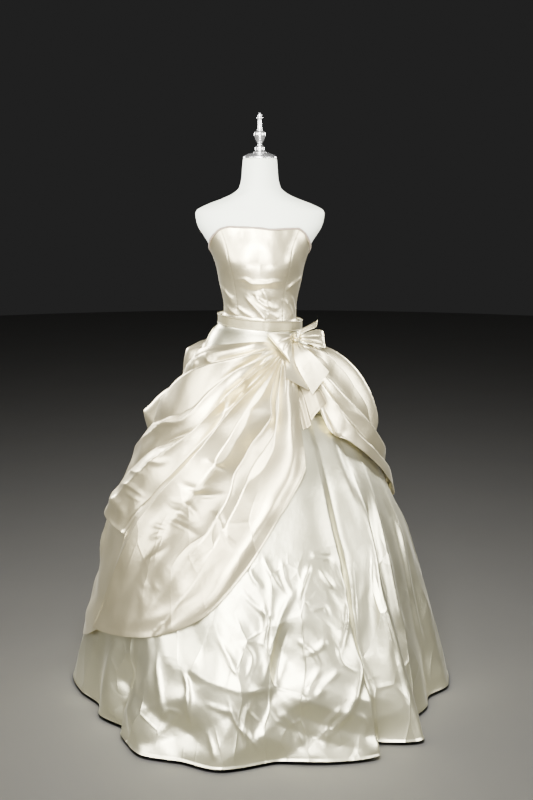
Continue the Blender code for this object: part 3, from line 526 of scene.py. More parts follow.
def creased(points, creases, surface, root=0.5, ends=(0.25, 0.75)):
    """The height that a table of creases adds at each point of the plain cloth.

    A crease is full on the line through its places and falls with the distance d as
    the bell curve of d / width, or as the tent exp(-d / width) as `sharp` goes to 1.
    It swells over the first part of the line, dies after the second of `ends`, and its
    width grows from the root share. `lean` above 1 makes its left side steeper.
    """
    lift = np.zeros(points.shape[:-1])
    for height, width, lean, sharp, places in creases:
        line, width = drawn(places, surface), width / 1000
        reach = 3.2 * width * max(lean, 1 / lean)
        near = ((points > line.min(0) - reach) & (points < line.max(0) + reach)).all(-1)
        distance, left, passed = beside(points[near], line)
        swell = between(passed, 0, *ends, 1.0001)
        spread = width * (root + (1 - root) * ease(passed, 0, 0.6))
        away = distance / (spread * np.where(left, 1 / lean, lean))
        bell = np.exp(-away ** 2)
        tent = np.exp(0.2 - np.sqrt(away ** 2 * 1.4 + 0.04))
        lift[near] += height / 1000 * swell * (bell + sharp * (tent - bell))
    return lift


NECKLINE = in_metres((       # angle, height of the bodice's upper edge
    (-180, 1300), (-130, 1308), (-95, 1330), (-78, 1348), (-60, 1372), (-48, 1388),
    (-37, 1403), (-27, 1409), (0, 1406), (10, 1402), (28, 1404), (35, 1404), (45, 1393),
    (55, 1377), (75, 1351), (95, 1330), (130, 1308), (180, 1300)))
BODICE_PANELS = (            # node, first and last angle, columns, cut width, length
    ("bodice_centre_front", -38, 38, 90, 0.20, 0.31),
    ("bodice_side_front_right", 38, 88, 44, 0.115, 0.285),
    ("bodice_side_back_right", 88, 134, 30, 0.095, 0.21),
    ("bodice_back_right", 134, 180, 30, 0.10, 0.21),
    ("bodice_back_left", 180, 226, 30, 0.10, 0.21),
    ("bodice_side_back_left", 226, 272, 30, 0.095, 0.21),
    ("bodice_side_front_left", 272, 322, 44, 0.115, 0.285))
BODICE_CREASES = (           # height, width, lean, sharp, places
    (4.2, 8.5, 1.5, 0.5, ((-37, 1258), (-20, 1262), (-9, 1250), (6, 1250), (22, 1254),
        (37, 1248))),
    (-2.2, 8, 1, 0.2, ((-34, 1240), (-10, 1226), (8, 1232), (34, 1226))),
    (4.4, 10, 0.8, 0.5, ((-26, 1216), (-10, 1184), (4, 1156), (12, 1135))),
    (3.6, 9, 1, 0.5, ((-12, 1222), (2, 1194), (16, 1178), (34, 1172))),
    (3.4, 10, 1, 0.4, ((-80, 1245), (-55, 1205), (-40, 1180))),
    (3.6, 8, 1, 0.5, ((38, 1226), (54, 1244), (80, 1262))),
    (-2.4, 8, 1, 0.3, ((-20, 1226), (-4, 1206), (14, 1196), (34, 1200))),
    (2.8, 9, 1, 0.3, ((2, 1236), (10, 1206), (14, 1170))),
    (2.6, 8, 1, 0.5, ((-66, 1236), (-50, 1208), (-40, 1196))),
    (2.6, 8, 1, 0.5, ((-64, 1182), (-48, 1162), (-30, 1152))),
    (2.8, 7.5, 1, 0.5, ((-38, 1180), (-22, 1160), (-6, 1146))),
    (2.6, 7.5, 1, 0.5, ((8, 1166), (20, 1156), (32, 1142))),
    (2.8, 8, 1, 0.5, ((40, 1200), (56, 1168), (64, 1140))),
    (2.4, 8, 1, 0.5, ((50, 1214), (64, 1184), (76, 1152))),
    (2.4, 7, 1, 0.4, ((100, 1240), (128, 1205), (150, 1190))),
    (2.4, 7, 1, 0.4, ((-104, 1236), (-130, 1208), (-152, 1182))),
    (2.2, 7, 1, 0.4, ((150, 1172), (172, 1160), (196, 1164))))
WAIST_HEIGHT, WAIST_TILT = 1.1275, 0.010
BODICE_CLOTH, BODICE_RADIUS = 0.0018, 0.115
SEAM_GAP = 0.08              # degrees between a panel's edge and the middle of its seam


def waist_tilt(angle):
    """The waistline is this much higher than its middle, as a sine of the angle."""
    return -WAIST_TILT * np.sin(np.radians(angle))


def neckline(angle):
    """Height of the bodice's upper edge."""
    return read(NECKLINE, wrapped(angle))[0]


def bodice_surface(angle, share, start, end):
    """A bodice panel: the torso moved out, with creases, seam puckers and a flare.

    The share goes from 0 at the neckline to 1 at the waist. Next to the panel's two
    seams the cloth dips by half a millimetre and ripples along the seam.
    """
    top, bottom = neckline(angle), WAIST_HEIGHT + waist_tilt(angle) + 0.0003
    height = top + (bottom - top) * share
    chest = ease(height, 1.18, 1.25)
    out = 0.0013 + 0.0011 * chest + 0.0125 * ease(bottom + 0.018 - height, 0, 0.018)
    plain = body_point(angle, height)
    out = out + creased(plain, BODICE_CREASES, body_point)
    seam = np.minimum(angle - start, end - angle) * math.radians(1) * BODICE_RADIUS
    pucker = np.sin(height * 2 * math.pi / 0.011 + 3 * drift(plain, 0.05, 4))
    out = out + 0.00035 * pucker * np.exp(-seam / 0.006) * ease(share, 0, 0.1)
    out = out - 0.0006 * np.exp(-(seam / 0.0022) ** 2) + 0.0007 * drift(plain, 0.06, 3)
    return body_point(angle, height, np.maximum(out, 0.0009) + BODICE_CLOTH)


champagne = satin("champagne_satin", (0.622, 0.562, 0.377), (0.562, 0.503, 0.311), 0.34,
                  0.0010, 2.0)
down = np.linspace(0, 1, 81)[:, None]
for node, start, end, columns, cut_width, cut_length in BODICE_PANELS:
    angle = np.linspace(start + SEAM_GAP, end - SEAM_GAP, columns + 1)[None, :]
    panel = cloth_piece(node + "_satin", bodice_surface(angle, down, start, end),
                        champagne)
    fixed(panel, "satin", node)


# ------------------------------------------------------------------ neckline binding
# A narrow strip cut on the bias, darker than the satin, folded over the raw edge and
# stitched down, so it stands a little over the panels' edge.

def bound_edge(angle, turn):
    """The binding's round section carried round the neckline.

    The section is a rounded oval 5.8 mm high and 2.2 mm thick, uneven by a tenth of
    its height where the bias cloth twists.
    """
    twist = 1 + 0.10 * np.sin(np.radians(angle) * 41) * np.sin(np.radians(angle) * 13)
    rise = -0.0016 + 0.0029 * twist * np.cos(turn)
    out = BODICE_CLOTH + 0.0038 + 0.0011 * np.sign(np.sin(turn)) \
        * np.abs(np.sin(turn)) ** 0.7
    return body_point(angle, neckline(angle) + rise, out)


# Dull side of the satin: darker and rougher, with a fine uneven face.
bias_satin = grained("bias_binding", (0.148, 0.115, 0.081), 0.55, 0.0, 60.0,
                     ((0.126, 0.096, 0.067), (0.178, 0.141, 0.104)), (0.42, 0.58),
                     None, 0.0006, 0.5, {"Sheen Weight": 0.1})
edge_angle = np.arange(0, 360, 1.0)[None, :]
edge_turn = np.linspace(math.pi, -math.pi, 14, endpoint=False)[:, None]
binding = cloth_piece("neckline_binding_strip", bound_edge(edge_angle, edge_turn),
                      bias_satin, 0.0, around=True, hoop=True)
fixed(binding, "binding", "neckline_binding")


# ------------------------------------------------------------------ belt
# A satin band round the waist with a cord welt sewn into each edge. Its end laps over
# its start beside the centre front, and the bow hides the hook.

BELT_HALF, WELT_RADIUS = 0.0152, 0.0021
FACE_SHARE = 0.72            # share of the way round the belt's section that is its face
WAIST_RADIUS, WAIST_DEPTH = 0.1229, 0.80


def belt_surface(angle, share):
    """The belt's section carried round the waist.

    The front face is flat between two round welts, and the back face is plain. The
    share runs down the front face and up the back one. The lap adds 0.9 mm between 9
    and 48 degrees, and shallow dents run across the band.
    """
    front = share < FACE_SHARE
    place = np.where(front, share / FACE_SHARE, (1 - share) / (1 - FACE_SHARE))
    rise = BELT_HALF * (1 - 2 * place)
    inset = BELT_HALF - WELT_RADIUS - np.abs(rise)
    welt = np.sqrt(np.maximum(1 - (inset / WELT_RADIUS) ** 2, 0)) * WELT_RADIUS
    face = np.maximum(0.0010, welt * 1.15 + 0.0004)
    lap = 0.0009 * between(wrapped(angle), 8.6, 9.1, 48, 52)
    turn = np.radians(angle)
    dent = 0.0002 * np.sin(turn * 23 + 2.5 * np.sin(turn * 5)) * (np.abs(rise) < 0.011)
    reach = 0.0007 + np.where(front, face + lap + dent * (face < 0.0016), 0.0)
    return ringed(turn, WAIST_RADIUS + reach, WAIST_RADIUS * WAIST_DEPTH + reach,
                  WAIST_HEIGHT + waist_tilt(angle) + rise)


belt_satin = satin("belt_satin_cloth", (0.252, 0.226, 0.137), (0.215, 0.192, 0.107),
                   0.45, 0.0002, 2.0, 0.7)
belt_angle = np.arange(0, 360, 1.5)[None, :]
belt_share = np.concatenate([np.linspace(0, FACE_SHARE, 46, endpoint=False),
                             np.linspace(FACE_SHARE, 1, 5, endpoint=False)])[:, None]
belt = cloth_piece("belt_satin", belt_surface(belt_angle, belt_share), belt_satin, 0.0,
                   around=True, hoop=True)
fixed(belt, "satin", "belt")


# ------------------------------------------------------------------ skirt
# Five flared panels of the same satin, sewn from the waist to the floor. They fall in
# deep flutes that lean over one another, with packing creases low at the front.

SKIRT_LEVELS = in_metres((   # height, radius, depth in thousandths of the width
    (0, 586, 1000), (100, 562, 1000), (200, 535, 1000), (300, 507, 1000),
    (400, 476, 1000), (500, 443, 1000), (600, 399, 1000), (700, 352, 1000),
    (800, 302, 960), (900, 247, 910), (1000, 188, 860), (1046, 163, 840),
    (1075, 150, 820), (1098, 135, 810), (1112, 122.9, 800), (1150, 122.2, 800)), 0)
FLUTES = in_metres((         # angle, how far it leans over, how far out at the hem
    (-180, 0, -18), (-166, 1.5, 18), (-152, 0, -30), (-138, -1.5, 16), (-125, 0, -26),
    (-112, 1.5, 14), (-100, 0, -22), (-88, -1, 4), (-76, 0, -24), (-65, 0, -58),
    (-55, -3, -36), (-47, 0, -60), (-41, -3, -24), (-30, -2, 22), (-21, 0, 3),
    (-12, 0, 17), (6, 0, -32), (29, 3, 27), (34, 0, -40), (44, 2.5, 43), (53, 0, -50),
    (62, 2, -38), (71, 0, -50), (80, 1, 2), (90, 0, 6), (100, 0, -22), (112, -1.5, 14),
    (124, 0, -30), (137, 1.5, 18), (151, 0, -26), (165, -1.5, 16), (180, 0, -18)), 2)
OVERSKIRT_EDGE = in_metres(( # angle, height of the overskirt's lower edge
    (-180, 360), (-140, 280), (-100, 200), (-66, 240), (-36, 300), (-18, 380), (0, 560),
    (10, 660), (24, 780), (44, 800), (60, 770), (75, 700), (90, 620), (110, 570),
    (140, 470), (180, 360)))
FLUTE_FADE, HEM_HEIGHT = 0.16, 0.012
SEAM_SHARE = 0.004           # share of a column that stays open beside a seam


def skirt_point(angle, height, lift=0.0, out=0.0):
    """The skirt's plain cone, moved square to itself by the lift.

    At each height it is an ellipse with the radius and depth of the levels; `out` is
    added to the radius.
    """
    level = height - waist_tilt(angle) * ease(height, 1.00, 1.10)
    radius, depth = read(SKIRT_LEVELS, level)
    below, above = (read(SKIRT_LEVELS, level + step)[0] for step in (-0.01, 0.01))
    slope = (above - below) / 0.02
    square = lift / np.sqrt(1 + slope ** 2)
    return ringed(np.radians(angle), radius + out + square,
                  (radius + out) * depth + square, height - slope * square)


SKIRT_CREASES = (            # height, width, lean, sharp, places
    (14, 20, 1, 0.2, ((54, 779), (46, 560), (42, 400), (44, 220))),
    (12, 18, 1, 0.2, ((66, 753), (57, 520), (56, 350), (60, 200))),
    (10, 18, 1, 0.2, ((80, 660), (73, 450), (71, 250), (76, 100))),
    (-6, 16, 1.3, 0.3, ((46, 640), (41, 450), (39, 300), (39, 160))),
    (-9, 14, 1, 0.3, ((58, 700), (50, 480), (50, 300), (52, 150))),
    (3, 14, 1, 0.3, ((50, 760), (45, 600), (38, 420), (34, 250))),
    (11, 12, 0.7, 0.9, ((1, 205), (4, 312), (8, 406), (14, 471))),
    (10, 12, 0.7, 0.9, ((17, 67), (21, 113), (26, 188), (32, 308), (33, 400))),
    (-6, 10, 1, 0.4, ((4, 196), (7, 300), (11, 380))),
    (4.5, 6, 1, 0.8, ((-4, 522), (-2, 491), (2, 463))),
    (4.5, 6, 1, 0.8, ((1, 547), (4, 503), (10, 436))),
    (4.5, 7, 1, 0.8, ((-7, 467), (0, 413), (6, 382))),
    (5.5, 7, 0.7, 0.7, ((13, 423), (16, 483), (19, 525))),
    (4, 6, 1, 0.8, ((21, 508), (26, 452))),
    (4, 6, 1, 0.8, ((15, 402), (21, 412), (23, 386))),
    (4.5, 6, 1, 0.8, ((13, 185), (15, 223), (18, 256))),
    (4.5, 6, 1, 0.8, ((15, 178), (18, 212), (24, 259))),
    (4.5, 7, 0.7, 0.6, ((30, 425), (28, 362), (22, 267))),
    (4, 7, 1, 0.6, ((-14, 357), (-8, 280), (-6, 245))),
    (4.5, 7, 1, 0.7, ((-7, 336), (-2, 292), (-4, 226))),
    (4.5, 6, 1, 0.8, ((-14, 110), (-12, 60), (-11, 30))),
    (9, 9, 1.4, 0.9, ((-23, 262), (-20, 191), (-19, 90))),
    (7, 8, 1, 0.9, ((-2, 206), (-4, 120), (-3, 30))),
    (6, 7, 1, 0.9, ((-9, 205), (-6, 130), (-1, 70), (1, 30))),
    (6, 7, 1, 0.9, ((6, 150), (10, 100), (12, 40))),
    (5.5, 7, 1, 0.9, ((22, 160), (18, 110), (17, 40))),
    (5.5, 10, 1.4, 0.6, ((-32, 290), (-28, 183), (-25, 90))),
    (4, 6, 1, 0.8, ((-28, 100), (-25, 141), (-21, 129))),
    (4, 6, 1, 0.8, ((-28, 62), (-25, 106), (-23, 136))),
    (4, 6, 1, 0.8, ((12, 282), (18, 308), (21, 334))),
    (4, 6, 1, 0.8, ((11, 334), (16, 299), (18, 257))),
    (4, 6, 1, 0.8, ((23, 322), (24, 268), (29, 230))),
    (4, 6, 1, 0.8, ((25, 132), (27, 103), (26, 51))),
    (4, 6, 1, 0.8, ((-16, 177), (-11, 166), (-5, 154))),
    (4, 6, 1, 0.8, ((8, 536), (9, 486), (12, 439))),
    (4, 6, 1, 0.8, ((28, 521), (29, 469), (32, 413))),
    (4, 8, 1, 0.5, ((1, 438), (2, 375), (1, 312))),
    (4, 5, 1, 0.9, ((18, 544), (28, 529))),
    (10, 20, 1, 0.3, ((128, 520), (130, 300), (134, 80))),
    (10, 20, 1, 0.3, ((158, 440), (162, 260), (168, 60))),
    (10, 20, 1, 0.3, ((196, 380), (198, 240), (196, 50))),
    (10, 20, 1, 0.3, ((224, 300), (230, 180), (236, 50))),
    (-8, 16, 1, 0.3, ((112, 560), (108, 330), (102, 90))),
    (-8, 16, 1, 0.3, ((146, 470), (148, 280), (152, 80))),
    (-8, 16, 1, 0.3, ((180, 380), (180, 220), (182, 60))),
    (6, 12, 1, 0.5, ((88, 600), (92, 380), (97, 120))),
    (6, 12, 1, 0.5, ((260, 200), (264, 120), (266, 40))))
SHELF = in_metres((          # angle, height and rise of the packing fold low in front
    (-180, 240, 0), (-52, 262, 0), (-36, 262, 3), (-23, 250, 10), (-12, 228, 14),
    (0, 205, 15), (12, 206, 10), (24, 216, 6), (39, 218, 6), (48, 222, 0), (180, 240, 0)))
SKIRT_PANELS = (             # node, first and last angle, columns
    ("skirt_front", -42, 42, 170), ("skirt_side_right", 42, 111, 118),
    ("skirt_back_right", 111, 180, 64), ("skirt_back_left", 180, 249, 64),
    ("skirt_side_left", 249, 318, 90))


def facets(points, seed, length, slant, count=4):
    """A field of flat facets that meet in creases, between about -1 and 1.

    It is the mean of triangle waves. Each runs across its own chance direction, about
    `slant` degrees off level to either side, is bent by a drift, and comes and goes.
    """
    chance = np.random.default_rng(seed)
    total = np.zeros(points.shape[:-1])
    bend = 0.07 * length * drift(points, 3.2 * length, seed + 70)
    for number in range(count):
        tilt = math.radians(slant * (-1) ** number + chance.normal(0, 14))
        across = np.arctan2(points[..., 0], -points[..., 1]) * chance.uniform(0.3, 0.5)
        way = across * math.cos(tilt) + points[..., 2] * math.sin(tilt) + bend
        wave = np.sin(2 * math.pi * way / (length * chance.uniform(0.75, 1.5))
                      + chance.uniform(0, 6))
        here = ease(drift(points, 2.4 * length, seed + 7 * number), -0.5, 0.9)
        total += 2 / math.pi * np.arcsin(0.998 * wave) * here
    return total / count ** 0.5


def skirt_surface(angle, share):
    """The whole skirt from the waist (share 0) to the hem (share 1).

    Flutes grow from a little above the overskirt's edge as the power 1.3 of the way
    down, and their crests lean over sideways. The packing shelf is a bell curve over
    the height, broader below it. Creases, facets and a narrow rolled hem are added
    square to the cone.
    """
    top = WAIST_HEIGHT + waist_tilt(angle) - 0.0003
    height = top + (HEM_HEIGHT - top) * share
    turned = wrapped(angle)
    side, out = read(FLUTES, turned)
    fade = read(OVERSKIRT_EDGE, turned)[0] + FLUTE_FADE
    grown = np.clip((fade - height) / (fade - HEM_HEIGHT), 0, 1) ** 1.3
    plain = skirt_point(angle, height)
    lift = 0.0016 * drift(plain, 0.16, 21)
    lift = lift + creased(plain, SKIRT_CREASES, skirt_point, 0.7, (0.3, 0.7))
    shelf, rise = read(SHELF, turned)
    over = height - shelf
    lift = lift + rise * np.exp(-(over / np.where(over > 0, 0.06, 0.11)) ** 2) \
        + 0.35 * rise * np.exp(-np.abs(over) / 0.012) * between(turned, -30, -22, -2, 8)
    packed = between(turned, -58, -46, 32, 44) * (1 - ease(height, 0.44, 0.60))
    low = 1 - ease(height, 0.16, 0.26)
    lift = lift + packed * (0.0055 + 0.0030 * low) * facets(plain, 11, 0.150, 20, 3) \
        + packed * low * 0.0180 * facets(plain, 14, 0.130, 46, 3) \
        + packed * 0.0014 * facets(plain, 12, 0.065, 32, 3) \
        + (1 - packed) * 0.0012 * facets(plain, 13, 0.14, 8)
    edge = height - HEM_HEIGHT
    lift = lift * ease(share, 0, 0.3) * (1 - 0.6 * np.exp(-edge / 0.02))
    lift = lift + 0.0020 * (1 - ease(edge, 0.0, 0.0075))
    leaned = angle + side * grown * ease(0.5 - height, 0, 0.5)
    return skirt_point(leaned, height, lift, out * grown)


ivory = satin("ivory_satin", (0.622, 0.599, 0.437), (0.548, 0.525, 0.348), 0.33,
              0.0110, 0.56, 0.96)
worn_champagne = satin("worn_champagne_satin", (0.592, 0.529, 0.348),
                       (0.525, 0.466, 0.281), 0.34, 0.0045, 0.76)
skirt_angle = np.concatenate([np.linspace(start, end, columns + 1)[:-1]
                              for node, start, end, columns in SKIRT_PANELS]
                             + [(318.0,)])
skirt_share = np.concatenate([np.linspace(0, 0.985, 166) ** 0.92,
                              np.linspace(0.988, 1, 8)])
skirt_grid = skirt_surface(skirt_angle[None, :], skirt_share[:, None])
first = 0
for node, start, end, columns in SKIRT_PANELS:
    cut = skirt_grid[:, first:first + columns + 1].copy()
    for outer, inner in ((0, 1), (-1, -2)):
        cut[:, outer] += (cut[:, inner] - cut[:, outer]) * SEAM_SHARE
    first += columns
    panel = cloth_piece(node + "_satin", cut, ivory)
    fixed(panel, "satin", node)


# ------------------------------------------------------------------ bustle
# The overskirt's back: one wide panel, tacked to the skirt along three lines so that it
# bags out in puffs behind both hips, and hanging free below the lowest tacks.

SEAT = 2.2                   # lift in mm where the overskirt is sewn to the skirt
# A puff's angle, half angle, place of its tip and how peaked it is, then in mm its top,
# bottom and height and the height of its pleats.
PUFFS = in_metres((
    (114, 27, 0.7, 0, 1040, 750, 86, 16),
    (178, 50, 0.7, 0, 1085, 910, 70, 16), (178, 50, 0.7, 0, 915, 690, 88, 16),
    (238, 30, 0.36, 0.5, 1058, 925, 57, 7), (239, 29, 0.7, 0.85, 930, 740, 88, 7)), 4)
BUSTLE_EDGE = in_metres((    # angle, height of its lower edge
    (72, 760), (90, 660), (110, 595), (140, 480), (180, 370), (220, 280), (258, 195),
    (274, 165), (286, 200), (298, 260)))
BUSTLE_CREASES = (           # height, width, lean, sharp, places
    (12, 16, 1, 0.3, ((150, 700), (146, 600), (140, 520))),
    (14, 18, 1, 0.3, ((170, 690), (172, 560), (176, 420))),
    (14, 18, 1.2, 0.3, ((196, 690), (206, 560), (214, 400), (218, 310))),
    (12, 18, 1.2, 0.3, ((222, 720), (238, 560), (250, 380), (256, 260))),
    (12, 16, 1, 0.3, ((120, 750), (118, 680), (112, 620))),
    (10, 14, 1, 0.4, ((252, 740), (268, 560), (280, 380))),
    (-10, 16, 1, 0.2, ((184, 690), (190, 540), (196, 400))),
    (-10, 16, 1, 0.2, ((210, 700), (224, 540), (236, 360))),
    (-8, 14, 1, 0.2, ((158, 700), (156, 580), (156, 470))))


def bustle_lift(angle, height):
    """Lift of the bustle: the cube root of the sum of the cubes of sheet and puffs.

    A puff is a window over its angles times the root of a sine over its height. Pleats
    fan out from its upper and lower tacks and fade at its middle.
    """
    loose = between(height, 0.34, 0.46, 1.00, 1.08)
    upper = ease(height, 0.58, 0.68)
    left = (1 - ease(angle, 276, 292)) * (1 - upper) \
        + (1 - ease(angle, 254, 264)) * upper
    total = (0.008 + 0.012 * loose * left * ease(angle, 84, 98)) ** 3
    pleats = 0
    for number, (middle, half, tip, peaked, top, bottom, rise, pleat) in enumerate(PUFFS):
        window = 1 - ease(np.abs(angle - middle) / half, 0.5, 1.0)
        share = np.clip((top - height) / (top - bottom), 0, 1)
        swell = np.sqrt(np.maximum(np.sin(math.pi * share ** 1.1), 0))
        peak = np.maximum(1 - np.abs(share - tip)
                          / np.where(share > tip, 1 - tip, tip), 0) ** 0.8
        swell = swell + peaked * (peak - swell)
        total = total + (rise * window * swell) ** 3
        wave = np.abs(np.sin(np.radians(angle - middle) * 9.5 + number
                             + 1.6 * np.sin(np.radians(angle) * 5 + number)))
        near_tack = np.exp(-(share / 0.28) ** 2) + np.exp(-((1 - share) / 0.22) ** 2)
        pleats = pleats + pleat * (wave ** 0.8 - 0.5) * near_tack * window \
            * between(share, 0, 0.06, 0.94, 1)
    return np.cbrt(total), pleats


def rolled(edge, rise=0.0010):
    """Extra lift of a narrow rolled hem, 8 mm deep, by the distance from its edge."""
    return rise * (1 - ease(edge, 0.006, 0.0085))


share = np.linspace(0, 1, 156)[:, None]
across = np.linspace(0, 1, 211)[None, :]
start, end = 72.0, 276.0 + 22.0 * ease(share, 0.35, 0.7)
angle = start + (end - start) * across
top = 1.0985 + waist_tilt(angle)
edge = read(BUSTLE_EDGE, angle)[0]
height = top + (edge - top) * share
lift, pleats = bustle_lift(angle, height)
plain = skirt_point(angle, height)
pleats = pleats + creased(plain, BUSTLE_CREASES, skirt_point) \
    + 0.0030 * facets(plain, 31, 0.10, 60) + 0.0030 * drift(plain, 0.13, 32)
tacked = ease(share, 0, 0.05) * (1 - ease(angle, 258, 272) * ease(height, 0.97, 1.03))
lift = SEAT / 1000 + (np.maximum(lift + pleats, 0.35 * lift) - SEAT / 1000) * tacked
lift = lift + rolled(height - edge)
bustle = cloth_piece("bustle_satin", skirt_point(angle, height, lift), champagne)
fixed(bustle, "satin", "bustle")


# ------------------------------------------------------------------ front drape
# A long asymmetric panel of the same satin. One corner is pleated small and sewn under
# the bow, and the cloth swings across the front to the other side in deep folds. Its
# free edges are narrow hemmed and roll outwards.

FRONT_RAYS = (               # rays from the bow: five places of angle, height, lift
    ((29, 1040, SEAT), (28, 971, 18), (25, 900, 20), (23, 830, 20), (22, 752, 16)),
    ((27, 1043, SEAT), (22, 950, 20), (18, 860, 24), (13, 760, 24), (8, 640, 14)),
    ((25, 1047, SEAT), (17, 950, 20), (10, 840, 22), (2, 690, 24), (-6, 494, 14)),
    ((23, 1051, SEAT), (10, 950, 20), (-1, 820, 22), (-10, 640, 26), (-18, 384, 14)),
    ((21, 1055, SEAT), (0, 962, 22), (-14, 820, 24), (-25, 600, 28), (-36, 308, 16)),
    ((19, 1059, SEAT), (-8, 945, 26), (-27, 800, 28), (-44, 590, 28), (-66, 250, 16)),
    ((17, 1063, SEAT), (-12, 945, 28), (-32, 800, 30), (-47, 630, 32), (-59, 440, 22)),
    ((15, 1067, SEAT), (-16, 950, 28), (-38, 810, 32), (-50, 690, 34), (-58, 535, 28)),
    ((13, 1071, SEAT), (-20, 962, 28), (-46, 855, 30), (-68, 720, 40), (-80, 536, 44)),
    ((11, 1075, SEAT), (-23, 992, 24), (-54, 910, 26), (-80, 790, 30), (-101, 542, 46)),
    ((10, 1079, SEAT), (-24, 1035, 16), (-56, 990, 22), (-80, 910, 28), (-97, 730, 34)),
    ((8, 1084, SEAT), (-22, 1078, SEAT), (-46, 1070, SEAT), (-70, 1052, 10),
        (-90, 1020, 18)))
FOLD_UNITS = 760             # units of a fold's rise in a metre, so one is 1.3 mm
FOLD_SHARES = (0, 0.15, 0.45, 0.75, 1)     # places of the five rises along a fold
FRONT_LINES = (              # five rises in FOLD_UNITS, sharpness, places
    ((2, 6, 8, 7, 5), 0.2, ((7, 1084), (-15, 1066), (-33, 1053), (-55, 1038), (-74, 1008),
        (-95, 975))),
    ((-2, -5, -8, -7, -5), 1, ((9, 1070), (-14, 1047), (-34, 1027), (-60, 998),
        (-78, 970), (-99, 935))),
    ((3, 11, 16, 14, 8), 0.4, ((11, 1064), (-10, 1040), (-26, 1020), (-42, 1003),
        (-60, 970), (-71, 936), (-79, 893), (-98, 850))),
    ((-4, -11, -14, -9, -4), 0.8, ((12, 1058), (-7, 1025), (-21, 996), (-30, 967),
        (-38, 936), (-44, 906), (-53, 873), (-67, 845), (-99, 790))),
    ((2, 8, 13, 13, 7), 1, ((14, 1052), (-7, 1018), (-18, 997), (-28, 955), (-34, 926),
        (-40, 881), (-47, 850), (-61, 832), (-73, 790), (-99, 700))),
    ((-4, -9, -14, -12, -7), 0.9, ((16, 1047), (-5, 1008), (-14, 973), (-23, 937),
        (-32, 870), (-38, 837), (-49, 808), (-63, 765), (-76, 705), (-99, 600))),
    ((2, 8, 12, 11, 6), 0.9, ((17, 1042), (-3, 993), (-12, 959), (-20, 928), (-28, 882),
        (-35, 835), (-46, 783), (-55, 735), (-66, 660), (-85, 500))),
    ((-4, -12, -17, -13, -8), 0.7, ((18, 1039), (1, 994), (-11, 949), (-18, 909),
        (-27, 836), (-36, 781), (-46, 705), (-56, 615), (-66, 480))),
    ((4, 12, 16, 12, 3), 0.9, ((19, 1037), (2, 979), (-9, 930), (-17, 886), (-25, 821),
        (-33, 750), (-42, 672), (-50, 580), (-56, 470), (-62, 380))),
    ((-4, -13, -14, -6, -3), 0.5, ((19, 1034), (7, 983), (-5, 926), (-12, 868),
        (-16, 825), (-22, 760), (-33, 650), (-43, 510), (-52, 380), (-60, 280))),
    ((3, 8, 10, 5, 2), 0.9, ((20, 1032), (11, 978), (7, 921), (7, 888), (2, 850),
        (-4, 813), (-7, 780), (-11, 738), (-12, 698), (-17, 620), (-27, 500),
        (-40, 340))),
    ((-3, -9, -12, -8, -5), 0.5, ((21, 1026), (15, 968), (11, 911), (9, 859), (6, 822),
        (1, 785), (-5, 735), (-9, 675), (-15, 590), (-22, 480), (-31, 360))),
    ((3, 6, 7, 9, 7), 0.1, ((23, 1011), (19, 943), (17, 867), (16, 801), (14, 750),
        (7, 686), (0, 622), (-7, 540), (-14, 455), (-21, 390), (-28, 345))))
FRONT_CREASES = (            # height, width, lean, sharp, places
    (9.5, 7, 1, 0.3, ((-16, 984), (-10, 966), (-20, 883), (-29, 829))),
    (-9.5, 7, 1, 0.2, ((-22, 958), (-22, 910), (-30, 860))),
    (10.5, 20, 1, 0.1, ((-60, 570), (-70, 590), (-84, 592), (-98, 590))),
    (5.1, 8, 1.2, 0.7, ((-28, 770), (-22, 764), (-13, 748))),
    (5.1, 8, 0.8, 0.7, ((-34, 688), (-23, 684), (-11, 696))),
    (-5.1, 8, 1, 0.5, ((-36, 706), (-30, 699), (-20, 702))),
    (4.3, 7, 1, 0.8, ((-41, 660), (-33, 659), (-26, 640), (-22, 606))),
    (-4.3, 7, 1, 0.5, ((-41, 640), (-33, 634), (-26, 615))),
    (5.1, 8, 1.2, 0.7, ((-43, 612), (-31, 602), (-20, 580))),
    (4.3, 6, 1, 0.8, ((-46, 589), (-35, 589))),
    (4.3, 6, 1, 0.8, ((-45, 551), (-36, 580))),
    (5.1, 8, 1, 0.7, ((-47, 478), (-40, 510), (-33, 559))),
    (4.3, 6, 1, 0.8, ((-15, 653), (-13, 592), (-7, 546))),
    (3.4, 6, 1, 0.8, ((-21, 649), (-15, 631), (-14, 597))),
    (3.4, 6, 1, 0.8, ((-39, 466), (-34, 424))),
    (3.4, 6, 1, 0.8, ((-44, 452), (-39, 425))),
    (5.1, 7, 1, 0.6, ((-84, 624), (-64, 653), (-54, 645))),
    (5.1, 7, 1, 0.6, ((-84, 676), (-68, 690), (-55, 702))),
    (4.3, 6, 1, 0.6, ((-68, 630), (-55, 633))),
    (3.6, 8, 1, 0.5, ((-69, 765), (-53, 771), (-45, 795))),
    (3.6, 8, 1, 0.5, ((-67, 728), (-51, 739), (-45, 761))),
    (1.6, 10, 1, 0.4, ((-11, 895), (-1, 906), (7, 891))),
    (1.2, 10, 1, 0.4, ((-4, 793), (5, 808))),
    (5.9, 8, 1, 0.5, ((-61, 1042), (-48, 1016), (-38, 1028))),
    (5.9, 8, 1, 0.5, ((-84, 1020), (-67, 1005), (-75, 966))),
    (-5.1, 20, 1, 0.1, ((-16, 578), (-24, 510), (-27, 429))),
    (3.4, 16, 1, 0.2, ((-16, 467), (-24, 416), (-35, 358), (-52, 306))),
    (3.4, 6, 1, 0.7, ((-48, 437), (-40, 392), (-40, 339))))

GATHER_RISE = 0.0046


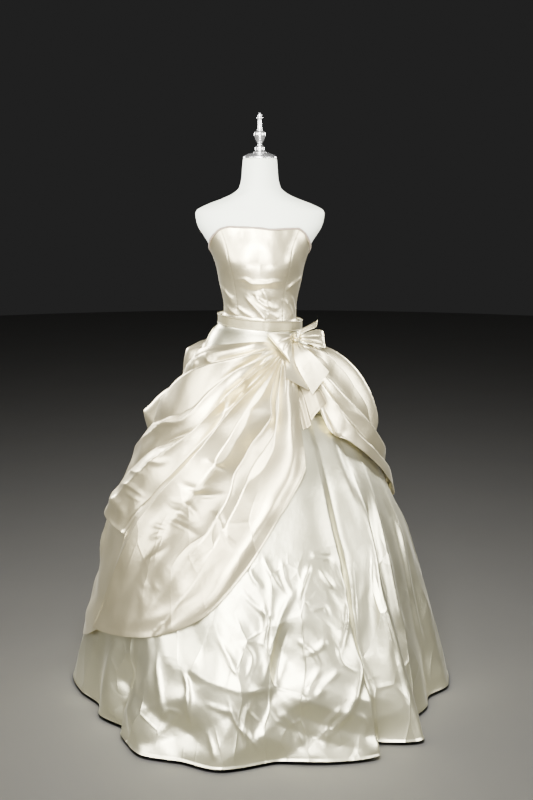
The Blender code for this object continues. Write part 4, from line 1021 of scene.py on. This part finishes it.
def fan(rays, down, across):
    """A drape's angle, height and lift: each ray is a smooth curve through its five
    places, and smooth curves go across from ray to ray."""
    along = curve(np.linspace(0, 1, 5), in_metres(rays).transpose(1, 0, 2), down)
    grid = curve(np.arange(len(rays)), along.transpose(1, 0, 2),
                 across * (len(rays) - 1)).transpose(1, 0, 2)
    return np.moveaxis(grid, -1, 0)


def gathers(down, across, count, seed):
    """Small pleats that run out from the bow: rounded ridges of uneven width across
    the fan, which swell at once and fade by a third of the way down."""
    chance = np.random.default_rng(seed)
    bend = sum(size * np.sin(across * pace + phase) for size, pace, phase in zip(
        (1.3, 0.8), (5.0, 11.0), chance.uniform(0, 6, 2)))
    wave = np.abs(np.sin(across * math.pi * count + bend)) ** 0.7
    return GATHER_RISE * (wave - 0.6) * between(down, 0, 0.07, 0.10, 0.36)


def folds(points, lines, surface):
    """Height of a row of folds, given by the lines of their crests and valleys.

    The lines lie side by side. Between two of them the height is a cubic of the share
    of the way across, with a level end at a round line and a slope at a sharp one.
    Outside the first and the last line it dies as a bell curve.
    """
    flat = points.reshape(-1, 3)
    ridges, crossed = [], 0
    for rises, sharp, places in lines:
        distance, left, passed = beside(flat, drawn(places, surface))
        rise = curve(FOLD_SHARES, np.array(rises) / FOLD_UNITS, passed)
        ridges.append((distance, rise, sharp))
        crossed = crossed + left
    total = np.zeros(len(flat))
    for number, (distance, rise, _), fade in ((0, ridges[0], 0.018),
                                              (len(ridges), ridges[-1], 0.022)):
        total = np.where(crossed == number, rise * np.exp(-(distance / fade) ** 2), total)
    for number, (one, other) in enumerate(zip(ridges[:-1], ridges[1:]), 1):
        (away, rise, sharp), (beyond, next_rise, next_sharp) = one, other
        share = away / (away + beyond + 1e-6)
        slopes = 1.7 * (sharp * (share ** 3 - 2 * share ** 2 + share)
                        + next_sharp * (share ** 3 - share ** 2))
        height = rise + (next_rise - rise) * (3 * share ** 2 - 2 * share ** 3 + slopes)
        total = np.where(crossed == number, height, total)
    return total.reshape(points.shape[:-1])


def draped(rays, rows, columns, lines, creases, packed, count, seed):
    """A drape over the skirt: its fan, creases, gathers, packed facets, rolled hem."""
    down = np.linspace(0, 1, rows + 1)
    across = np.linspace(0, 1, columns + 1)
    angle, height, lift = fan(rays, down, across)
    plain = skirt_point(angle, height)
    folded = folds(plain, lines, skirt_point) + 0.0014 * drift(plain, 0.09, seed) \
        + creased(plain, creases, skirt_point, 0.9, (0.45, 0.55))
    for number, size, slant, rise, *ranges in packed:
        patch = rise
        for at, (low, high), soft in zip((angle, height), ranges, (10, 0.08)):
            patch = patch * between(at, low, low + soft, high - soft, high)
        folded = folded + patch * facets(plain, number, size, slant)
    folded = folded + gathers(down[:, None], across[None, :], count, seed)
    length = np.linalg.norm(np.diff(plain, axis=0), axis=-1).sum(0)
    edge = (1 - down[:, None]) * length[None, :]
    folded = folded * (1 - 0.5 * np.exp(-edge / 0.012))
    lift = np.maximum(lift + folded * ease(down, 0.0, 0.12)[:, None], 0.5 * lift)
    return skirt_point(angle, height, lift + rolled(edge))


FRONT_PACKED = (             # in m: seed, facet length, slant, rise, angles, heights
    (41, 0.110, 35, 0.0022, (-70, -8), (0.30, 0.72)),
    (42, 0.110, 60, 0.0012, (-100, -46), (0.58, 0.98)),
    (43, 0.090, 20, 0.0007, (-30, 40), (0.50, 1.05)))
front_grid = draped(FRONT_RAYS, 178, 240, FRONT_LINES, FRONT_CREASES, FRONT_PACKED,
                    7, 5)
drape_front = cloth_piece("drape_front_satin", front_grid[:, ::-1], worn_champagne)
fixed(drape_front, "satin", "drape_front")


# ------------------------------------------------------------------ right drape
# The shorter panel on the bow's side: it is gathered under the same bow, goes round the
# hip and ends in a hooked lower edge that lifts off the skirt.

RIGHT_RAYS = (               # as for the front drape, like the three tables below
    ((33, 1050, SEAT), (34, 1000, 18), (36, 960, 22), (37, 925, 22), (38, 895, 18)),
    ((35, 1054, SEAT), (37, 990, 20), (39, 930, 24), (40, 880, 24), (41, 838, 18)),
    ((37, 1058, SEAT), (42, 985, 22), (46, 915, 24), (50, 855, 17), (54, 800, 9)),
    ((39, 1062, SEAT), (51, 990, 24), (58, 910, 26), (64, 830, 18), (70, 730, 7)),
    ((41, 1067, SEAT), (59, 1005, 24), (69, 920, 29), (78, 800, 27), (88, 628, 9)),
    ((43, 1072, SEAT), (64, 1020, 24), (77, 935, 32), (88, 790, 34), (100, 568, 8)),
    ((45, 1078, SEAT), (68, 1035, 22), (82, 955, 34), (94, 780, 36), (110, 540, 6)))
RIGHT_LINES = (
    ((2, 6, 8, 6, 4), 0.4, ((35, 1050), (39, 960), (41, 926), (40, 897), (40, 871),
        (43, 838))),
    ((-3, -10, -16, -14, -9), 0.8, ((36, 1055), (42, 963), (43, 936), (44, 905),
        (45, 874), (48, 830))),
    ((4, 11, 15, 12, 7), 0.5, ((38, 1060), (45, 969), (47, 922), (51, 881), (53, 851),
        (58, 822), (69, 768), (84, 690), (98, 625))),
    ((-3, -9, -13, -11, -7), 0.4, ((39, 1062), (47, 976), (53, 919), (58, 880), (66, 829),
        (75, 773), (88, 705), (102, 640))),
    ((4, 9, 12, 11, 6), 0.5, ((41, 1066), (50, 982), (59, 922), (70, 857), (80, 796),
        (91, 730), (105, 655))),
    ((-4, -13, -19, -15, -7), 0.7, ((43, 1070), (54, 993), (66, 941), (74, 899),
        (83, 839), (94, 765), (110, 670))),
    ((4, 9, 11, 9, 6), 1, ((44, 1075), (60, 1040), (71, 1008), (80, 955), (87, 880),
        (94, 800), (108, 680))))
RIGHT_CREASES = (
    (4, 8, 1, 0.6, ((62, 880), (74, 830), (84, 770))),
    (3, 8, 1, 0.6, ((70, 800), (80, 740), (90, 690))),
    (3, 7, 1, 0.6, ((56, 1010), (62, 985), (70, 960))))
RIGHT_PACKED = ((51, 0.08, 50, 0.0010, (40, 112), (0.60, 1.05)),)
right_grid = draped(RIGHT_RAYS, 125, 135, RIGHT_LINES, RIGHT_CREASES, RIGHT_PACKED,
                    5, 6)
drape_right = cloth_piece("drape_right_satin", right_grid, champagne)
fixed(drape_right, "satin", "drape_right")


# ------------------------------------------------------------------ cascade
# A small folded end of the overskirt that falls from under the bow between the two
# drapes, with a zigzag lower edge. Its satin is rougher and less glossy, as the satin's
# reverse side, and painted darker, as painted shade under the bow.

CASCADE = in_metres((        # angle, upper and lower height, lift above and below
    (25.5, 962, 850, 2.9, 7), (27.8, 965, 852, 2.9, 9.5), (30.2, 968, 858, 2.9, 19),
    (31.8, 970, 868, 2.9, 10), (35, 968, 882, 12, 21), (38, 958, 891, 29, 33),
    (41.5, 946, 898, 32, 37), (43.5, 934, 906, 30, 33)))
across = np.linspace(0, 7, 85)
angle, top, bottom, seat, full = curve(np.arange(8), CASCADE, across).T
share = np.linspace(0, 1, 45)[:, None]
height = top + (bottom - top) * share
fold = 0.0010 * np.sin(across * 2.1 + 0.6) * ease(share, 0.1, 0.7)
lift = seat + (full + fold - seat) * ease(share, 0, 0.4)
lift = lift + rolled(height - bottom, 0.0007)
# Painted shade: this satin's colour is darker than the champagne to stand in for the
# shade under the bow; its higher roughness and lower metallic are the reverse side's.
shade_painted_satin = satin("shade_painted_satin", (0.274, 0.237, 0.141), (0.229, 0.196, 0.111), 0.42,
                     0.0002, 2.0, 0.75)
cascade = cloth_piece("cascade_satin", skirt_point(angle, height, lift), shade_painted_satin,
                      0.0010)
fixed(cascade, "satin", "cascade")


# ------------------------------------------------------------------ bow
# Two wide loops, a small upper loop and two slanted tails of folded satin ribbon. A
# short strip is pulled tight round their middle as the knot, so the loops are gathered
# at their roots and bulge between knot and tip.

KNOT_X, KNOT_Z = 0.103, 1.095
BOW_LOOPS = (   # in m: node, root, its height, upper and lower tip, puff, lift, arch, cut
    ("bow_loop_left", (0.0920, 1.0950), 0.020, (0.0190, 1.1055), (0.0850, 1.0320),
     0.016, 0.009, 0.0040, (0.060, 0.150)),
    ("bow_loop_right", (0.1145, 1.0930), 0.018, (0.1850, 1.1040), (0.1900, 1.0600),
     0.013, 0.003, 0.0066, (0.05, 0.165)),
    ("bow_loop_upper", (0.1112, 1.1062), 0.010, (0.1690, 1.1345), (0.1655, 1.1180),
     0.006, -0.002, 0.0, (0.016, 0.12)))
BOW_TAILS = (   # in m: node, left and right edge through three places of x, z, lift; cut
    ("bow_tail_front",
     ((0.0985, 1.0815, 0.006), (0.0985, 1.0440, 0.018), (0.1490, 0.9460, 0.032)),
     ((0.1120, 1.0810, 0.008), (0.1460, 1.0560, 0.043), (0.1970, 1.0050, 0.062)),
     (0.070, 0.15)),
    ("bow_tail_back",
     ((0.0870, 1.0810, -0.004), (0.0745, 1.0260, 0.004), (0.0730, 0.9920, 0.020)),
     ((0.1020, 1.0805, -0.004), (0.1180, 1.0400, 0.010), (0.1380, 0.9580, 0.027)),
     (0.05, 0.14)))
LAYER_GAP, RIBBON = 0.0045, 0.0011


def bow_point(x, z, lift):
    """The bow's face: y falls with the distance beside the knot as a parabola and
    comes forward in a straight lean below it; the lift is subtracted from y."""
    x, z, lift = np.broadcast_arrays(x, z, lift)
    beside = x - KNOT_X
    y = -0.095 + 0.37 * beside + 1.7 * beside ** 2 - 0.62 * (KNOT_Z - z) - lift
    return np.stack([x, y, z], -1)


def loop_surface(loop, seed):
    """A ribbon loop: out from the knot in front, round the tip and back behind.

    Both layers run straight from the root's edge to the tip's edge; the front one
    bulges as the root of 4t(1 - t). Two narrow pleats, as dips exp(-d / width), fan
    out from the root and fade outwards.
    """
    root, root_height, tip_high, tip_low, puff, lift, arch = loop[1:-1]
    turn = np.linspace(0, math.pi, 61)
    toward = (0.5 - 0.5 * np.cos(2 * turn))[:, None] ** 0.8
    front = (turn < math.pi / 2)[:, None]
    over = np.linspace(0, 1, 41)[None, :]
    half = root_height / 2
    x = (root[0] + (tip_high[0] - root[0]) * toward) * (1 - over) \
        + (root[0] + (tip_low[0] - root[0]) * toward) * over
    high = root[1] + half + (tip_high[1] - root[1] - half) * toward \
        + arch * 6.75 * toward ** 2 * (1 - toward)
    low = root[1] - half + (tip_low[1] - root[1] + half) * toward
    z = high * (1 - over) + low * over
    bulge = np.sqrt(4 * toward * (1 - toward)) * (0.55 + 1.8 * over * (1 - over))
    chance = np.random.default_rng(seed)
    dips = sum(np.exp(-np.abs(over - place) / 0.075)
               for place in np.array((0.34, 0.70)) + chance.uniform(-0.05, 0.05, 2))
    pleat = (0.55 - dips) * (1 - toward) ** 0.45 * ease(toward, 0.0, 0.12)
    forward = lift + LAYER_GAP + puff * (bulge + 0.3 * toward) + 0.46 * puff * pleat
    behind = lift + 0.10 * puff * pleat
    tip = np.sin(turn)[:, None] ** 8
    level = np.where(front, forward, behind)
    half_gap = 0.5 * (LAYER_GAP + 0.3 * puff)
    side = np.where(front, 1, -1) * np.sqrt(np.maximum(1 - tip ** 2, 0))
    rounded = lift + half_gap * (1 + side)
    level = level + (rounded - level) * ease(toward, 0.93, 1.0)
    grid = bow_point(x, z, level)
    if tip_high[0] < root[0]:
        grid = grid[:, ::-1]
    return grid.transpose(1, 0, 2)


for seed, loop in enumerate(BOW_LOOPS):
    ribbon = cloth_piece(loop[0] + "_satin", loop_surface(loop, seed), champagne,
                         RIBBON)
    fixed(ribbon, "satin", loop[0])

down = np.linspace(0, 1, 51)
over = np.linspace(0, 1, 31)[None, :, None]
for node, left, right, cut in BOW_TAILS:
    edges = [curve((0, 0.45, 1), side, down)[:, None] for side in (left, right)]
    x, z, lift = np.moveaxis(edges[0] + (edges[1] - edges[0]) * over, -1, 0)
    span = over[..., 0]
    pleat = np.cos(span * 16) * np.exp(-(down[:, None] / 0.22) ** 2)
    lift = lift + 0.0012 * pleat + 0.0012 * np.sin(span * 4 + down[:, None] * 3)
    tail = cloth_piece(node + "_satin", bow_point(x, z, lift), champagne, RIBBON)
    fixed(tail, "satin", node)


def knot_surface(turn, rise):
    """The knot: a ball squeezed to its three sizes, with folds that wrap round it.

    The folds are a sine of the height, slanted with the turn, on a superellipse.
    """
    wide = np.cos(rise) ** 0.8
    folds = 1 + 0.07 * np.sin(rise * 7 + np.sin(turn) * 1.4) * wide
    return ringed(turn, 0.0108 * folds * wide, 0.0272 * folds * wide,
                  0.0138 * np.sin(rise)) + (KNOT_X, -0.0995, KNOT_Z)


knot_turn = np.linspace(0, 2 * math.pi, 72, endpoint=False)[None, :]
knot_rise = np.linspace(1.53, -1.53, 48)[:, None]
knot = rings_piece("bow_knot_satin", knot_surface(knot_turn, knot_rise), champagne)
fixed(knot, "satin", "bow_knot")


# ------------------------------------------------------------------ floor, light, camera
# A pale matt floor, a wide key lamp in front, softer ones at both sides, low and high
# in front for the bodice, an overhead softbox, and two behind the gown.

# Matt floor paint with a faint mottle.
floor_paint = grained("floor_paint", (0.266, 0.263, 0.252), 0.75, 0.0, 2.5,
                      ((0.255, 0.252, 0.240), (0.277, 0.274, 0.263)), (), None,
                      0.0005, 0.3)
turn = np.linspace(0, 2 * math.pi, 97)[None, :]
reach = np.array((9.0, 5.0, 2.0, 0.5, 0.001))[:, None]
floor = cloth_piece("floor", ringed(turn, reach, reach, 0.0)[::-1], floor_paint, 0.0)

shown = bpy.data.collections.new("gown_and_stand")
for piece in bpy.context.scene.collection.objects:
    if piece.type == "MESH" and piece != floor:
        shown.objects.link(piece)


LAMP_TONE = (1.0, 0.985, 0.96)


def soft_lamp(name, place, aim, size, power, spread, flagged=True):
    """A square area lamp at a place, turned to its aim, with a grid that keeps its
    light within the spread in degrees. A flagged one lights only the gown and stand."""
    lamp = bpy.data.lights.new(name, "AREA")
    lamp.size, lamp.energy, lamp.color = size, power, LAMP_TONE
    lamp.spread = math.radians(spread)
    holder = bpy.data.objects.new(name, lamp)
    bpy.context.scene.collection.objects.link(holder)
    holder.location = place
    way = np.array(aim) - np.array(place)
    holder.rotation_euler = (math.atan2(math.hypot(way[0], way[1]), -way[2]), 0,
                             math.atan2(-way[0], way[1]))
    if flagged:
        holder.light_linking.receiver_collection = shown


soft_lamp("key", (-0.9, -4.0, 2.3), (0, 0, 0.80), 3.0, 170.3, 70)
soft_lamp("left", (-3.0, -2.0, 1.9), (0, 0, 0.8), 1.9, 56.8, 90)
soft_lamp("right", (3.1, -1.9, 1.5), (0, 0, 0.7), 1.7, 56.8, 90)
soft_lamp("low", (0.1, -2.6, 0.15), (0, -0.1, 1.27), 0.9, 16.2, 44)
soft_lamp("high", (-0.3, -3.0, 3.0), (0, 0, 1.30), 1.2, 24.3, 50)
soft_lamp("top", (-0.1, -1.7, 3.6), (0, -0.1, 0.8), 1.5, 59.5, 110, False)
soft_lamp("back_left", (-2.4, 2.4, 1.9), (0, 0, 0.9), 1.1, 54.1, 100)
soft_lamp("back_right", (2.6, 2.2, 1.9), (0, 0, 0.9), 1.1, 54.1, 100)

world = bpy.data.worlds.new("studio")
world.use_nodes = True
backdrop = world.node_tree.nodes["Background"]
backdrop.inputs["Color"].default_value = (0.02, 0.02, 0.02, 1)
backdrop.inputs["Strength"].default_value = 1.0
bpy.context.scene.world = world

lens = bpy.data.cameras.new("camera")
lens.lens = 50.55            # mm
camera = bpy.data.objects.new("camera", lens)
camera.location = (0.019, -3.3, 1.585)
camera.rotation_euler = (math.radians(90 - 11.92), 0, 0)
bpy.context.scene.collection.objects.link(camera)
bpy.context.scene.camera = camera

bpy.context.view_layer.update()
